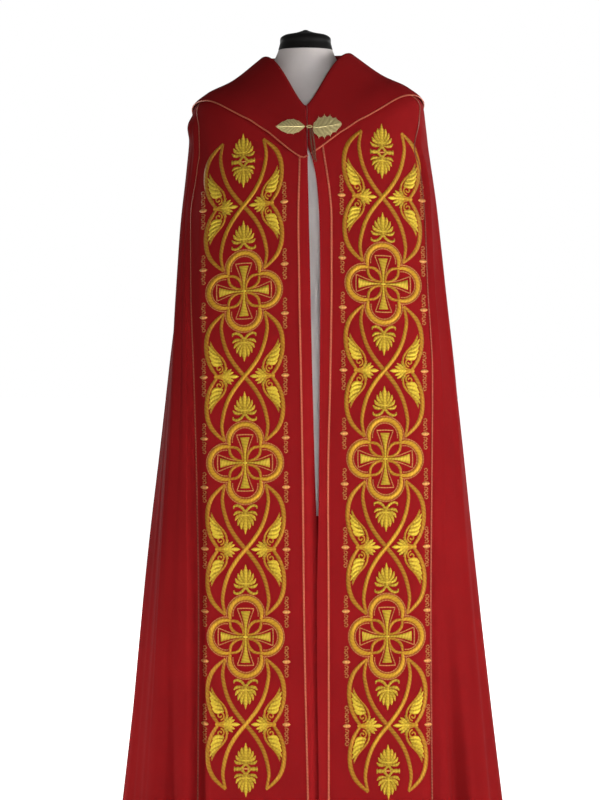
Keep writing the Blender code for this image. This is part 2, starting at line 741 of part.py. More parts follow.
def make_link(finish, steps=16):
    """The oval link between the two leaves."""
    origin, across, up, outward = clasp_frame(LINK_CENTRE_X, CLASP_HEIGHT)
    turns = 2 * np.pi * np.arange(steps) / steps
    wide = (LINK_LENGTH / 2 - LINK_WIRE) * np.cos(turns)
    high = (LINK_WIDTH / 2 - LINK_WIRE) * np.sin(turns)
    path = origin + outward * 2 * LINK_WIRE + wide[:, None] * across + high[:, None] * up
    facing = np.broadcast_to(outward, path.shape)
    return tube("clasp_link", sweep(path, facing, LINK_WIRE, LINK_WIRE, 6, closed=True), finish, closed=True)


def make_chain(finish):
    """The short doubled chain that hangs from the link, as one flat strip."""
    top, _, _, outward = clasp_frame(*CHAIN_TOP)
    foot = clasp_frame(*CHAIN_FOOT)[0]
    part = np.linspace(0.0, 1.0, 5)[:, None]
    path = top + (foot - top) * part + outward * CHAIN_CLEARANCE
    facing = np.broadcast_to(outward, path.shape)
    return tube("clasp_chain", sweep(path, facing, CHAIN_WIDTH / 2, CHAIN_THICKNESS / 2, 4), finish)


def main():
    """Build every piece."""
    for old in list(bpy.data.objects):
        bpy.data.objects.remove(old, do_unlink=True)

    red = material("red_cloth", (0.250, 0.008, 0.010), 0.85)
    bright_red = material("border_cloth", (0.400, 0.012, 0.012), 0.85)
    dull_red = material("collar_cloth", (0.160, 0.007, 0.008), 0.85)
    gold = material("gold_thread", (0.500, 0.300, 0.060), 0.45, 0.3)
    brass = material("antique_brass", (0.300, 0.220, 0.090), 0.40, 0.9)
    cover = material("form_cover", (0.380, 0.340, 0.330), 0.90)
    black = material("form_black", (0.010, 0.009, 0.009), 0.50)

    make_body(red)
    make_band("orphrey_left", -1, red)
    make_band("orphrey_right", 1, red)
    make_border("border_left", -1, bright_red)
    make_border("border_right", 1, bright_red)
    make_collar(dull_red)
    make_piping(gold)
    for line in ("inner_left", "outer_left", "inner_right", "outer_right"):
        make_braid("braid_" + line, line, gold)
    make_leaf("clasp_leaf_left", LEFT_LEAF, brass)
    make_leaf("clasp_leaf_right", RIGHT_LEAF, brass)
    make_link(brass)
    make_chain(brass)
    make_torso(cover)
    turned("form_neck_cap", NECK_CAP, black)
    turned("form_pole", POLE, black, segments=16)
    turned("form_base", BASE, black)


main()
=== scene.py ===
"""The finished look of a red cope on a limbless dress form.

Frame: metres, +Z up, the front faces -Y, the origin is on the floor under the dress form's pole.
Every cloth piece lies on one outer form, read at an angle round the body (0 in front, positive
towards +X) and at a level down the fall (0 at the neck, 8 at the hem), as in the CAD source.
"""

import logging
import math
from dataclasses import dataclass, replace
from enum import Enum
from typing import NamedTuple

import bpy
import numpy as np
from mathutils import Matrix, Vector


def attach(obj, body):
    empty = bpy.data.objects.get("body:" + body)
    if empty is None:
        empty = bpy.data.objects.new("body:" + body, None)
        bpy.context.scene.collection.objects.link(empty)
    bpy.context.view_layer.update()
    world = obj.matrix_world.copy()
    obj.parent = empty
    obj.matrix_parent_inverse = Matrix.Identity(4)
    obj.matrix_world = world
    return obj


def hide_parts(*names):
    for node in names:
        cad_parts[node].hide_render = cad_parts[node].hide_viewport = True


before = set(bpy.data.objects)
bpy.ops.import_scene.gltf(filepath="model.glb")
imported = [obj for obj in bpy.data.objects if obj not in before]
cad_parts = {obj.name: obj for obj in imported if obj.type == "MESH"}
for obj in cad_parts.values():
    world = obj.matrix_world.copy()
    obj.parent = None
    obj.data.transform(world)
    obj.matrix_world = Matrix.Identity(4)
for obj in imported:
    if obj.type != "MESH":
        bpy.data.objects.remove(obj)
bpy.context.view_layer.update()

Array = np.ndarray
Material = bpy.types.Material
Object = bpy.types.Object
Socket = bpy.types.NodeSocket
LOG = logging.getLogger("cope")

CLOTH = 0.002
SEAM_GAP = 0.0004
CLASP_GAP = 0.0008
HEM_LEVEL = 8.0
BAND_TOP_LEVEL = 0.30
BAND_BACK_LEVEL = 2.35
YOKE_GAP_LEVELS = 0.02
NECK_TOP = 1.5865
TUCK_POWER = 2.0


def table(kind: type, *rows: tuple) -> tuple:
    """Rows of one kind, each from its values in order."""
    return tuple(kind(*row) for row in rows)


class Level(NamedTuple):
    """One ring of the garment's outer form: its heights, half widths, depths and squareness."""

    front_z: float
    side_z: float
    back_z: float
    left: float
    right: float
    front: float
    back: float
    square_left: float
    square_right: float


LEVELS = table(
    Level,
    (1.461, 1.571, 1.576, 0.085, 0.091, 0.13, 0.078, 1.5, 1.5),  # neck
    (1.428, 1.525, 1.516, 0.146, 0.154, 0.142, 0.102, 1.8, 1.8),  # mid shoulder
    (1.398, 1.5, 1.46, 0.196, 0.204, 0.15, 0.118, 2.1, 2.1),  # shoulder end
    (1.368, 1.469, 1.405, 0.225, 0.235, 0.156, 0.13, 2.2, 2.3),  # shoulder tip
    (1.325, 1.385, 1.345, 0.235, 0.245, 0.159, 0.142, 2.25, 2.4),  # upper arm
    (1.24, 1.25, 1.24, 0.248, 0.262, 0.161, 0.16, 2.4, 2.5),  # chest
    (0.93, 0.93, 0.93, 0.273, 0.298, 0.165, 0.21, 3.3, 2.8),  # waist
    (0.48, 0.48, 0.48, 0.314, 0.34, 0.175, 0.285, 3.9, 3.0),  # knee
    (0.045, 0.045, 0.045, 0.353, 0.389, 0.19, 0.35, 3.9, 3.0),  # hem
)


class FrontLine(NamedTuple):
    """Where the lines down the two front bands cross one level, as X; tuck is how far the left edge sits back."""

    level: float
    outer_left: float
    inner_left: float
    edge_left: float
    edge_right: float
    inner_right: float
    outer_right: float
    tuck: float


FRONT_LINES = table(
    FrontLine,
    (0.0, -0.07, -0.013, 0.0022, 0.0034, 0.017, 0.07, 0.0),
    (2.35, -0.198, -0.012, 0.0028, 0.004, 0.0325, 0.1985, 0.0),
    (2.7, -0.2115, -0.012, 0.0032, 0.0068, 0.034, 0.217, 0.0),
    (3.1, -0.215, -0.0118, 0.004, 0.0116, 0.036, 0.2265, 0.0),
    (3.5, -0.2105, -0.0119, 0.0042, 0.0154, 0.0385, 0.224, 0.0),
    (4.0, -0.2095, -0.0125, 0.0046, 0.02, 0.0425, 0.214, 0.0),
    (4.25, -0.213, -0.013, 0.0049, 0.0219, 0.0448, 0.2215, 0.0),
    (4.5, -0.217, -0.0135, 0.0054, 0.0237, 0.047, 0.2275, 0.0),
    (5.0, -0.227, -0.0143, 0.0065, 0.0268, 0.0505, 0.235, 0.0),
    (5.5, -0.226, -0.0125, 0.0093, 0.0284, 0.0505, 0.24, 0.0),
    (6.0, -0.2195, -0.009, 0.0134, 0.0274, 0.048, 0.2495, 0.002),
    (6.5, -0.2135, -0.0055, 0.0194, 0.0256, 0.0438, 0.2475, 0.011),
    (7.0, -0.21, -0.0032, 0.029, 0.022, 0.045, 0.2455, 0.016),
    (8.0, -0.212, 0.006, 0.034, 0.0262, 0.0452, 0.2485, 0.018),
)


class SeamDip(NamedTuple):
    """How far the outer form dips along the outer edges of the left and right bands, at one level."""

    level: float
    left: float
    right: float


SEAM_DIPS = table(
    SeamDip,
    (3.377, 0.0, 0.0),
    (3.716, 0.0042, 0.001),
    (4.085, 0.01, 0.006),
    (4.477, 0.0128, 0.008),
    (4.888, 0.0124, 0.007),
    (5.314, 0.012, 0.003),
    (5.75, 0.014, 0.0),
    (6.19, 0.0172, 0.0),
    (6.64, 0.0195, 0.001),
    (7.09, 0.021, 0.003),
    (8.0, 0.022, 0.004),
)
# How wide each dip is towards the body cloth and towards the band
DIP_BODY_SIDE = {"left": 0.025, "right": 0.020}
DIP_BAND_SIDE = {"left": 0.023, "right": 0.020}


class CollarPoint(NamedTuple):
    """The collar's lower edge at an angle from the opening, in degrees: its level and its stand off the body."""

    angle: float
    level: float
    lift: float


COLLAR_EDGE = table(
    CollarPoint,
    (0.0, 3.12, 0.0),
    (5.0, 2.74, 0.0),
    (10.0, 2.43, 0.0),
    (15.0, 2.22, 0.0),
    (20.0, 2.12, 0.0),
    (28.0, 2.12, 0.0),
    (36.0, 2.25, 0.0),
    (45.0, 2.35, 0.0),
    (60.0, 2.42, 0.0),
    (75.0, 2.56, 0.0),
    (90.0, 2.8, 0.001),
    (115.0, 3.32, 0.004),
    (140.0, 4.02, 0.008),
    (163.0, 4.46, 0.011),
    (180.0, 4.55, 0.012),
)


class TorsoRing(NamedTuple):
    """One ring of the dress form: its height, half width and depths."""

    height: float
    half_width: float
    front: float
    back: float


TORSO = table(
    TorsoRing,
    (0.66, 0.152, 0.124, 0.108),
    (0.675, 0.16, 0.131, 0.114),
    (0.8, 0.174, 0.139, 0.122),
    (0.9, 0.174, 0.141, 0.122),
    (1.0, 0.152, 0.138, 0.108),
    (1.09, 0.14, 0.134, 0.096),
    (1.2, 0.158, 0.14, 0.102),
    (1.32, 0.184, 0.146, 0.11),
    (1.4, 0.194, 0.137, 0.108),
    (1.45, 0.188, 0.119, 0.1),
    (1.49, 0.16, 0.098, 0.09),
    (1.515, 0.122, 0.083, 0.08),
    (1.535, 0.092, 0.072, 0.072),
    (1.555, 0.071, 0.063, 0.064),
    (1.572, 0.06, 0.056, 0.058),
    (NECK_TOP, 0.054, 0.0535, 0.0545),
)


class Turning(NamedTuple):
    """One corner of a turned profile."""

    radius: float
    height: float


NECK_CAP = table(
    Turning,
    (0.0545, NECK_TOP + SEAM_GAP),
    (0.053, 1.593),
    (0.0512, 1.6),
    (0.051, 1.607),
    (0.049, 1.612),
    (0.042, 1.6165),
    (0.033, 1.6187),
    (0.02, 1.6212),
    (0.009, 1.6245),
    (0.0035, 1.627),
)


class Fold(NamedTuple):
    """A fold of the body cloth: its place at the hem, as a share of the way round from the left band,
    how much that place grows a level further up, its width, its depth at the hem and its highest level."""

    place: float
    lean: float
    width: float
    depth: float
    top: float


SIDE_FOLDS = table(
    Fold,
    (0.0235, 0.0165, 0.013, 0.005, 6.6),
    (0.042, 0.0175, 0.017, -0.011, 6.6),
    (0.087, 0.0, 0.03, 0.007, 2.9),
    (0.141, 0.002, 0.028, -0.005, 4.2),
    (0.198, 0.0, 0.03, 0.013, 2.7),
    (0.24, 0.0, 0.026, -0.016, 4.0),
    (0.77, 0.0, 0.026, -0.018, 3.8),
    (0.822, 0.0, 0.03, 0.013, 2.7),
    (0.86, -0.003, 0.024, -0.006, 4.6),
    (0.899, 0.0, 0.028, 0.011, 3.0),
    (0.951, 0.018, 0.025, -0.032, 6.6),
)


class Swell(NamedTuple):
    """A local bulge of the body cloth: its place and width, its middle level and reach, its lean and its depth."""

    place: float
    width: float
    level: float
    reach: float
    depth: float
    lean: float = 0.0


SWELLS = table(
    Swell,
    (0.021, 0.02, 3.9, 0.9, 0.005),
    (0.06, 0.05, 3.5, 0.4, 0.009),
    (0.974, 0.025, 4.5, 1.0, 0.007),
    (0.94, 0.04, 5.6, 0.9, -0.003),
)
# Soft creases too shallow for the solids
CREASES = table(
    Swell,
    (0.022, 0.006, 6.3, 1.6, 0.0016, 0.002),
    (0.06, 0.008, 5.4, 1.9, -0.002, -0.004),
    (0.1, 0.009, 6.8, 1.4, 0.0024, 0.003),
    (0.15, 0.01, 5.9, 1.7, -0.0022, 0.004),
    (0.2, 0.011, 6.9, 1.3, 0.0026, -0.003),
    (0.262, 0.01, 5.6, 1.5, 0.002, 0.005),
    (0.33, 0.011, 6.7, 1.5, -0.0024, -0.004),
    (0.418, 0.01, 6.0, 1.8, 0.0022, 0.003),
    (0.505, 0.012, 6.9, 1.3, 0.0024, -0.005),
    (0.59, 0.01, 5.8, 1.7, -0.0022, 0.004),
    (0.668, 0.011, 6.8, 1.5, 0.0022, 0.003),
    (0.742, 0.01, 5.7, 1.6, -0.002, -0.004),
    (0.806, 0.01, 6.6, 1.4, 0.0024, 0.003),
    (0.858, 0.009, 5.6, 1.7, -0.0022, -0.003),
    (0.902, 0.008, 6.7, 1.5, 0.002, 0.004),
    (0.962, 0.007, 5.9, 1.7, 0.0018, 0.003),
)


def column(rows: tuple, name: str) -> Array:
    """One named column of a table."""
    return np.array([getattr(row, name) for row in rows])


def smooth(at: Array, knots: Array, values: Array) -> Array:
    """Read a table between its rows with a monotone cubic, which never overshoots them.

    Args:
        at: where to read.
        knots: the rows' places, rising.
        values: the rows' values.

    Returns:
        The values there; each slope is the harmonic mean of its neighbours' rises, or 0 at a turn.
    """
    step = np.diff(knots)
    rise = np.diff(values) / step
    same_way = rise[:-1] * rise[1:] > 0
    total = np.where(same_way, rise[:-1] + rise[1:], 1.0)
    inner_slope = np.where(same_way, 2 * rise[:-1] * rise[1:] / total, 0.0)
    slope = np.concatenate(([rise[0]], inner_slope, [rise[-1]]))
    at = np.clip(at, knots[0], knots[-1])
    row = np.clip(np.searchsorted(knots, at, side="right") - 1, 0, len(step) - 1)
    part = (at - knots[row]) / step[row]
    rest = 1 - part
    start = (1 + 2 * part) * rest**2 * values[row] + part * rest**2 * step[row] * slope[row]
    end = part**2 * (3 - 2 * part) * values[row + 1] - part**2 * rest * step[row] * slope[row + 1]
    return start + end


def unit(vectors: Array) -> Array:
    """Vectors along the last axis, brought to length 1."""
    return vectors / np.linalg.norm(vectors, axis=-1, keepdims=True)


def circle(count: int) -> Array:
    """Angles at even steps round a circle, from 0."""
    return 2 * np.pi * np.arange(count) / count


def bump(value: Array) -> Array:
    """A smooth hump that is 1 at 0 and fades to 0 at -1 and 1: the squared cosine."""
    return np.where(np.abs(value) < 1, np.cos(np.pi * np.clip(value, -1, 1) / 2) ** 2, 0.0)


def spline(points: Array, count: int) -> Array:
    """Carry a Catmull-Rom spline through some points.

    Args:
        points: the points, one a row.
        count: how many points to return, at even steps of the spline's parameter.

    Returns:
        The spline's points, one a row.
    """
    padded = np.vstack([2 * points[0] - points[1], points, 2 * points[-1] - points[-2]])
    at = np.linspace(0, len(points) - 1, count)
    leg = np.minimum(at.astype(int), len(points) - 2)
    part = (at - leg)[:, None]
    a, b, c, d = padded[leg], padded[leg + 1], padded[leg + 2], padded[leg + 3]
    linear_part = 2 * b + (c - a) * part
    return (linear_part + (2 * a - 5 * b + 4 * c - d) * part**2 + (3 * b - a - 3 * c + d) * part**3) / 2


@dataclass(frozen=True)
class OuterForm:
    """The smooth outer form that all the cloth lies on."""

    dip_power: int = 4
    back_square: float = 2.1
    shoulder_tilt: float = 0.042

    def ring(self, level: Array, name: str) -> Array:
        """A column of LEVELS at any level."""
        return smooth(level, np.arange(len(LEVELS), dtype=float), column(LEVELS, name))

    def sided(self, on_left: Array, level: Array, start: str = "") -> Array:
        """One of the two columns of LEVELS whose names end in left and right, for each point's own side."""
        return np.where(on_left, self.ring(level, start + "left"), self.ring(level, start + "right"))

    def line(self, level: Array, name: str) -> Array:
        """A column of FRONT_LINES at any level."""
        return smooth(level, column(FRONT_LINES, "level"), column(FRONT_LINES, name))

    def point(self, angle: Array, level: Array) -> Array:
        """The form's points.

        Each ring is a superellipse: X is the half width times the sine, and Y the depth times the cosine,
        each to the power 2 over the squareness. Z is the side's height, plus the front's or the back's
        difference from it times a power of the cosine, plus the tilt of the shoulders. The front dips along
        the bands' outer edges.

        Args:
            angle: round the body, in radians.
            level: down the fall.

        Returns:
            Points, with X, Y and Z on the last axis.
        """
        sine, cosine = np.sin(angle), np.cos(angle)
        ahead, behind = np.maximum(cosine, 0.0), np.maximum(-cosine, 0.0)
        power = 2 / np.where(cosine > 0, self.sided(sine < 0, level, "square_"), self.back_square)
        deep = np.where(cosine > 0, self.ring(level, "front"), self.ring(level, "back"))
        side_z = self.ring(level, "side_z")
        front_part = (self.ring(level, "front_z") - side_z) * ahead**self.dip_power
        back_part = (self.ring(level, "back_z") - side_z) * behind**2
        x = self.sided(sine < 0, level) * np.sign(sine) * np.abs(sine) ** power
        y = -deep * np.sign(cosine) * np.abs(cosine) ** power
        tilt = self.shoulder_tilt * x * (1 - level / HEM_LEVEL)
        dip = (self.seam_dip(x, level, "left") + self.seam_dip(x, level, "right")) * (cosine > 0)
        return np.stack([x, y + dip, side_z + front_part + back_part + tilt], axis=-1)

    def seam_dip(self, x: Array, level: Array, word: str) -> Array:
        """How far the front dips near the outer edge of one band: a hump across, from SEAM_DIPS down the fall.

        Args:
            x: how far across.
            level: down the fall.
            word: the band's side, left or right.

        Returns:
            How far back, in metres.
        """
        off_seam = (x - self.line(level, "outer_" + word)) * (-1 if word == "left" else 1)
        width = np.where(off_seam > 0, DIP_BODY_SIDE[word], DIP_BAND_SIDE[word])
        return smooth(level, column(SEAM_DIPS, "level"), column(SEAM_DIPS, word)) * bump(off_seam / width)

    def angle_at(self, x: Array, level: Array) -> Array:
        """The angle at which the front of the form passes through X at a level."""
        share = np.clip(np.abs(x) / self.sided(x < 0, level), 0.0, 1.0)
        return np.sign(x) * np.arcsin(share ** (self.sided(x < 0, level, "square_") / 2))

    def line_angle(self, level: Array, name: str) -> Array:
        """The angle of a line of FRONT_LINES at any level."""
        return self.angle_at(self.line(level, name), level)

    def front_place(self, x: Array, z: Array, halvings: int = 26) -> tuple[Array, Array]:
        """Find by halving the angle and level at which the front of the form passes through X and Z.

        Args:
            x: how far across.
            z: how high.
            halvings: how often to halve the fall.

        Returns:
            The angle and the level.
        """
        above, below = np.zeros_like(x * z), np.full_like(x * z, HEM_LEVEL)
        for _ in range(halvings):
            level = (above + below) / 2
            too_high = self.point(self.angle_at(x, level), level)[..., 2] > z
            above, below = np.where(too_high, level, above), np.where(too_high, below, level)
        return self.angle_at(x, level), level

    def normal(self, angle: Array, level: Array) -> Array:
        """The form's outward unit normals, from small nudges along both parameters.

        Args:
            angle: round the body, in radians.
            level: down the fall.

        Returns:
            Unit vectors on the last axis.
        """
        nudge = 1e-3
        round_body = self.point(angle + nudge, level) - self.point(angle - nudge, level)
        down = self.point(angle, level + nudge) - self.point(angle, level - nudge)
        return unit(np.cross(down, round_body))


FORM = OuterForm()


class FrontMap:
    """The front of the outer form as a fine net over X and Z, read between its points."""

    def __init__(self, low: tuple[float, float], high: tuple[float, float], spacing: float = 0.004) -> None:
        """Work out the net between two corners, each an X and a Z.

        Args:
            low: the lower left corner.
            high: the upper right corner.
            spacing: the net's step, in metres.
        """
        self.low, self.spacing = low, spacing
        self.x = np.arange(low[0], high[0], spacing)
        self.z = np.arange(low[1], high[1], spacing)
        angle, level = FORM.front_place(self.x[None, :], self.z[:, None])
        self.depth = FORM.point(angle, level)[..., 1]
        self.facing = FORM.normal(angle, level)

    def lift(self, x: Array, z: Array, height: Array) -> Array:
        """Lay points on the cloth's front.

        The depth and the normal are read linearly between the net's four nearest points, and the point
        then moves out along the normal by its height.

        Args:
            x: the points' X.
            z: the points' Z.
            height: how far they stand off the cloth.

        Returns:
            The points in space.
        """
        across = np.clip((x - self.low[0]) / self.spacing, 0, len(self.x) - 1.001)
        up = np.clip((z - self.low[1]) / self.spacing, 0, len(self.z) - 1.001)
        col, row = across.astype(int), up.astype(int)
        s, t = across - col, up - row
        corners = (
            (row, col, (1 - s) * (1 - t)),
            (row, col + 1, s * (1 - t)),
            (row + 1, col, (1 - s) * t),
            (row + 1, col + 1, s * t),
        )
        depth = sum(self.depth[r, c] * share for r, c, share in corners)
        facing = unit(sum(self.facing[r, c] * share[..., None] for r, c, share in corners))
        return np.stack([x, depth, z], axis=-1) + facing * np.asarray(height)[..., None]


# ---- Meshes ----


def placed(name: str, data: bpy.types.ID) -> Object:
    """A new object with some data, in the scene.

    Args:
        name: its name.
        data: its mesh, light or camera.

    Returns:
        The object.
    """
    made = bpy.data.objects.new(name, data)
    bpy.context.scene.collection.objects.link(made)
    return made


@dataclass
class Skin:
    """A mesh as whole arrays: its points, its four-cornered faces and each corner's place on the pattern."""

    points: Array
    quads: Array
    corner_uv: Array
    tones: Array | None = None

    def made(self, name: str, sharp_degrees: float = 40.0) -> Object:
        """Put the arrays into a Blender mesh object.

        Args:
            name: the piece's name.
            sharp_degrees: edges that turn more than this stay sharp.

        Returns:
            The new object, at the origin.
        """
        mesh = bpy.data.meshes.new(name)
        mesh.from_pydata(self.points.tolist(), [], self.quads.tolist())
        layer = mesh.uv_layers.new(name="UVMap")
        layer.data.foreach_set("uv", self.corner_uv.astype(np.float32).ravel())
        if self.tones is not None:
            tone = mesh.attributes.new("tone", "FLOAT", "POINT")
            tone.data.foreach_set("value", self.tones.astype(np.float32).ravel())
        mesh.shade_smooth()
        mesh.set_sharp_from_angle(angle=math.radians(sharp_degrees))
        LOG.info("%s: %d faces", name, len(self.quads))
        return placed(name, mesh)


def joined(skins: list[Skin]) -> Skin:
    """Join several skins into one.

    Args:
        skins: the skins, in order.

    Returns:
        One skin; a skin without tones gets even ones.
    """
    starts = np.cumsum([0] + [len(skin.points) for skin in skins[:-1]])
    tones = [skin.tones if skin.tones is not None else np.full(len(skin.points), 0.5) for skin in skins]
    return Skin(
        np.concatenate([skin.points for skin in skins]),
        np.concatenate([skin.quads + start for skin, start in zip(skins, starts)]),
        np.concatenate([skin.corner_uv for skin in skins]),
        np.concatenate(tones),
    )


def cloth_uv(points: Array) -> Array:
    """Each grid point's place on the cloth: metres along its row, and metres up from the last row.

    Args:
        points: the grid, rows down.

    Returns:
        Both distances on the last axis.
    """
    along = np.linalg.norm(np.diff(points, axis=1), axis=-1)
    up = np.linalg.norm(np.diff(points, axis=0), axis=-1)
    u = np.concatenate([np.zeros((len(points), 1)), np.cumsum(along, axis=1)], axis=1)
    v = np.concatenate([np.cumsum(up[::-1], axis=0)[::-1], np.zeros((1, points.shape[1]))])
    return np.stack([u, v], axis=-1)


def corners(sides: list[Array]) -> Array:
    """Four-cornered faces, one a row, from arrays of their first, second, third and fourth corners."""
    return np.stack(sides, axis=-1).reshape(-1, 4)


def wall_skin(outside: Array, inside: Array, tones: Array | None = None) -> Skin:
    """Close two matching grids into one thin wall.

    Args:
        outside: the outward grid, rows down and columns towards +X in front.
        inside: the grid behind it.
        tones: a number at each grid point, or None.

    Returns:
        The wall, with four rims.
    """
    rows, columns = outside.shape[:2]
    count = rows * columns
    index = np.arange(count).reshape(rows, columns)
    a, b, c, d = index[:-1, :-1], index[:-1, 1:], index[1:, 1:], index[1:, :-1]
    parts = [corners([a, d, c, b]), corners([a, b, c, d]) + count]
    top, foot, left, right = index[0], index[-1], index[:, 0], index[:, -1]
    for near, far in ((top[:-1], top[1:]), (foot[1:], foot[:-1]), (left[1:], left[:-1]), (right[:-1], right[1:])):
        parts.append(corners([near, far, far + count, near + count]))
    quads = np.concatenate(parts)
    flat_uv = cloth_uv(outside).reshape(-1, 2)
    both = None if tones is None else np.concatenate([tones.ravel(), tones.ravel()])
    points = np.concatenate([outside.reshape(-1, 3), inside.reshape(-1, 3)])
    return Skin(points, quads, np.concatenate([flat_uv, flat_uv])[quads], both)


def tube_skin(loops: Array, closed: bool = False, tones: tuple = ()) -> Skin:
    """Join a row of matching loops into one body.

    Args:
        loops: loops of points, one after another along the path.
        closed: True where the last loop meets the first; otherwise both ends close in one point.
        tones: tones at even steps along the path, or none.

    Returns:
        The tube, whose pattern runs along the path and round it in metres.
    """
    if not closed:
        first, last = loops[:1].mean(axis=1, keepdims=True), loops[-1:].mean(axis=1, keepdims=True)
        first, last = np.broadcast_to(first, loops[:1].shape), np.broadcast_to(last, loops[:1].shape)
        loops = np.concatenate([first, loops, last])
    count, sides = loops.shape[:2]
    middle = loops.mean(axis=1)
    ahead = np.roll(middle, -1, axis=0) if closed else np.vstack([middle[1:], middle[-1:]])
    run = np.concatenate([[0.0], np.cumsum(np.linalg.norm(ahead - middle, axis=1))])
    girth = np.linalg.norm(np.roll(loops[1], -1, axis=0) - loops[1], axis=1)
    around = np.concatenate([[0.0], np.cumsum(girth)])
    steps = count if closed else count - 1
    step, side = np.meshgrid(np.arange(steps), np.arange(sides), indexing="ij")
    here, there, beside = step * sides, (step + 1) % count * sides, (side + 1) % sides
    quads = corners([here + side, here + beside, there + beside, there + side])
    u_near, u_far, v_near, v_far = run[step], run[step + 1], around[side], around[side + 1]
    corner_u = np.stack([u_near, u_near, u_far, u_far], axis=-1)
    corner_v = np.stack([v_near, v_far, v_far, v_near], axis=-1)
    tone = None
    if tones:
        tone = np.repeat(np.interp(np.linspace(0, 1, count), np.linspace(0, 1, len(tones)), tones), sides)
    return Skin(loops.reshape(-1, 3), quads, np.stack([corner_u, corner_v], axis=-1).reshape(-1, 4, 2), tone)


def sweep(path: Array, outward: Array, half: tuple, sides: int, closed: bool = False, square: float = 2.0) -> Array:
    """Carry a section along a path, with one of its axes on the outward direction.

    Args:
        path: the path's points.
        outward: a direction at each of them.
        half: the section's half width and half height.
        sides: its number of corners.
        closed: True for a ring.
        square: 2 for an ellipse; more makes it boxier, as a superellipse.

    Returns:
        One loop of points at each point of the path.
    """
    ahead = np.roll(path, -1, axis=0) - np.roll(path, 1, axis=0) if closed else np.gradient(path, axis=0)
    across = unit(np.cross(outward, unit(ahead)))
    up = np.cross(unit(ahead), across)
    turns = 2 * np.pi * (np.arange(sides) + 0.5) / sides
    cosine, sine = np.cos(turns), np.sin(turns)
    wide = half[0] * np.sign(cosine) * np.abs(cosine) ** (2 / square)
    high = half[1] * np.sign(sine) * np.abs(sine) ** (2 / square)
    return path[:, None, :] + wide[None, :, None] * across[:, None, :] + high[None, :, None] * up[:, None, :]


def dressed(piece: Object, finish: Material, slot: str, *nodes: str) -> Object:
    """Give a piece its finish and its place on the body, and hide the CAD nodes that it stands for.

    Args:
        piece: the piece.
        finish: its material.
        slot: not used.
        nodes: the CAD nodes that it replaces.

    Returns:
        The piece.
    """
    piece.data.materials.append(finish)
    if nodes:
        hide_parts(*nodes)
    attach(piece, "root")
    return piece


# ---- Finishes ----


def linear(hex_colour: str) -> tuple[float, float, float, float]:
    """Turn an sRGB hex colour, such as #A01E20, to linear light with a full alpha.

    Args:
        hex_colour: the colour.

    Returns:
        Red, green, blue and alpha.
    """
    parts = [int(hex_colour[at : at + 2], 16) / 255 for at in (1, 3, 5)]
    red, green, blue = (p / 12.92 if p <= 0.04045 else ((p + 0.055) / 1.055) ** 2.4 for p in parts)
    return red, green, blue, 1.0


def fill(tree: bpy.types.NodeTree, node: bpy.types.Node, inputs: dict) -> None:
    """Link a node's inputs, by name or number, to sockets, or set them to plain values.

    Args:
        tree: the node tree.
        node: the node.
        inputs: the sockets or values.
    """
    for name, value in inputs.items():
        if isinstance(value, Socket):
            tree.links.new(value, node.inputs[name])
        else:
            node.inputs[name].default_value = value


def add_node(tree: bpy.types.NodeTree, kind: str, settings: dict, inputs: dict) -> bpy.types.Node:
    """Add one node, whose kind is its type without "ShaderNode", with its settings and its inputs.

    Args:
        tree: the node tree.
        kind: the type.
        settings: its properties.
        inputs: its sockets or values.

    Returns:
        The node.
    """
    made = tree.nodes.new("ShaderNode" + kind)
    for name, value in settings.items():
        setattr(made, name, value)
    fill(tree, made, inputs)
    return made


def counted(tree: bpy.types.NodeTree, operation: str, *values: Socket | float, clamp: bool = False) -> Socket:
    """The result of one sum on numbers or sockets."""
    settings = {"operation": operation, "use_clamp": clamp}
    return add_node(tree, "Math", settings, dict(enumerate(values))).outputs[0]


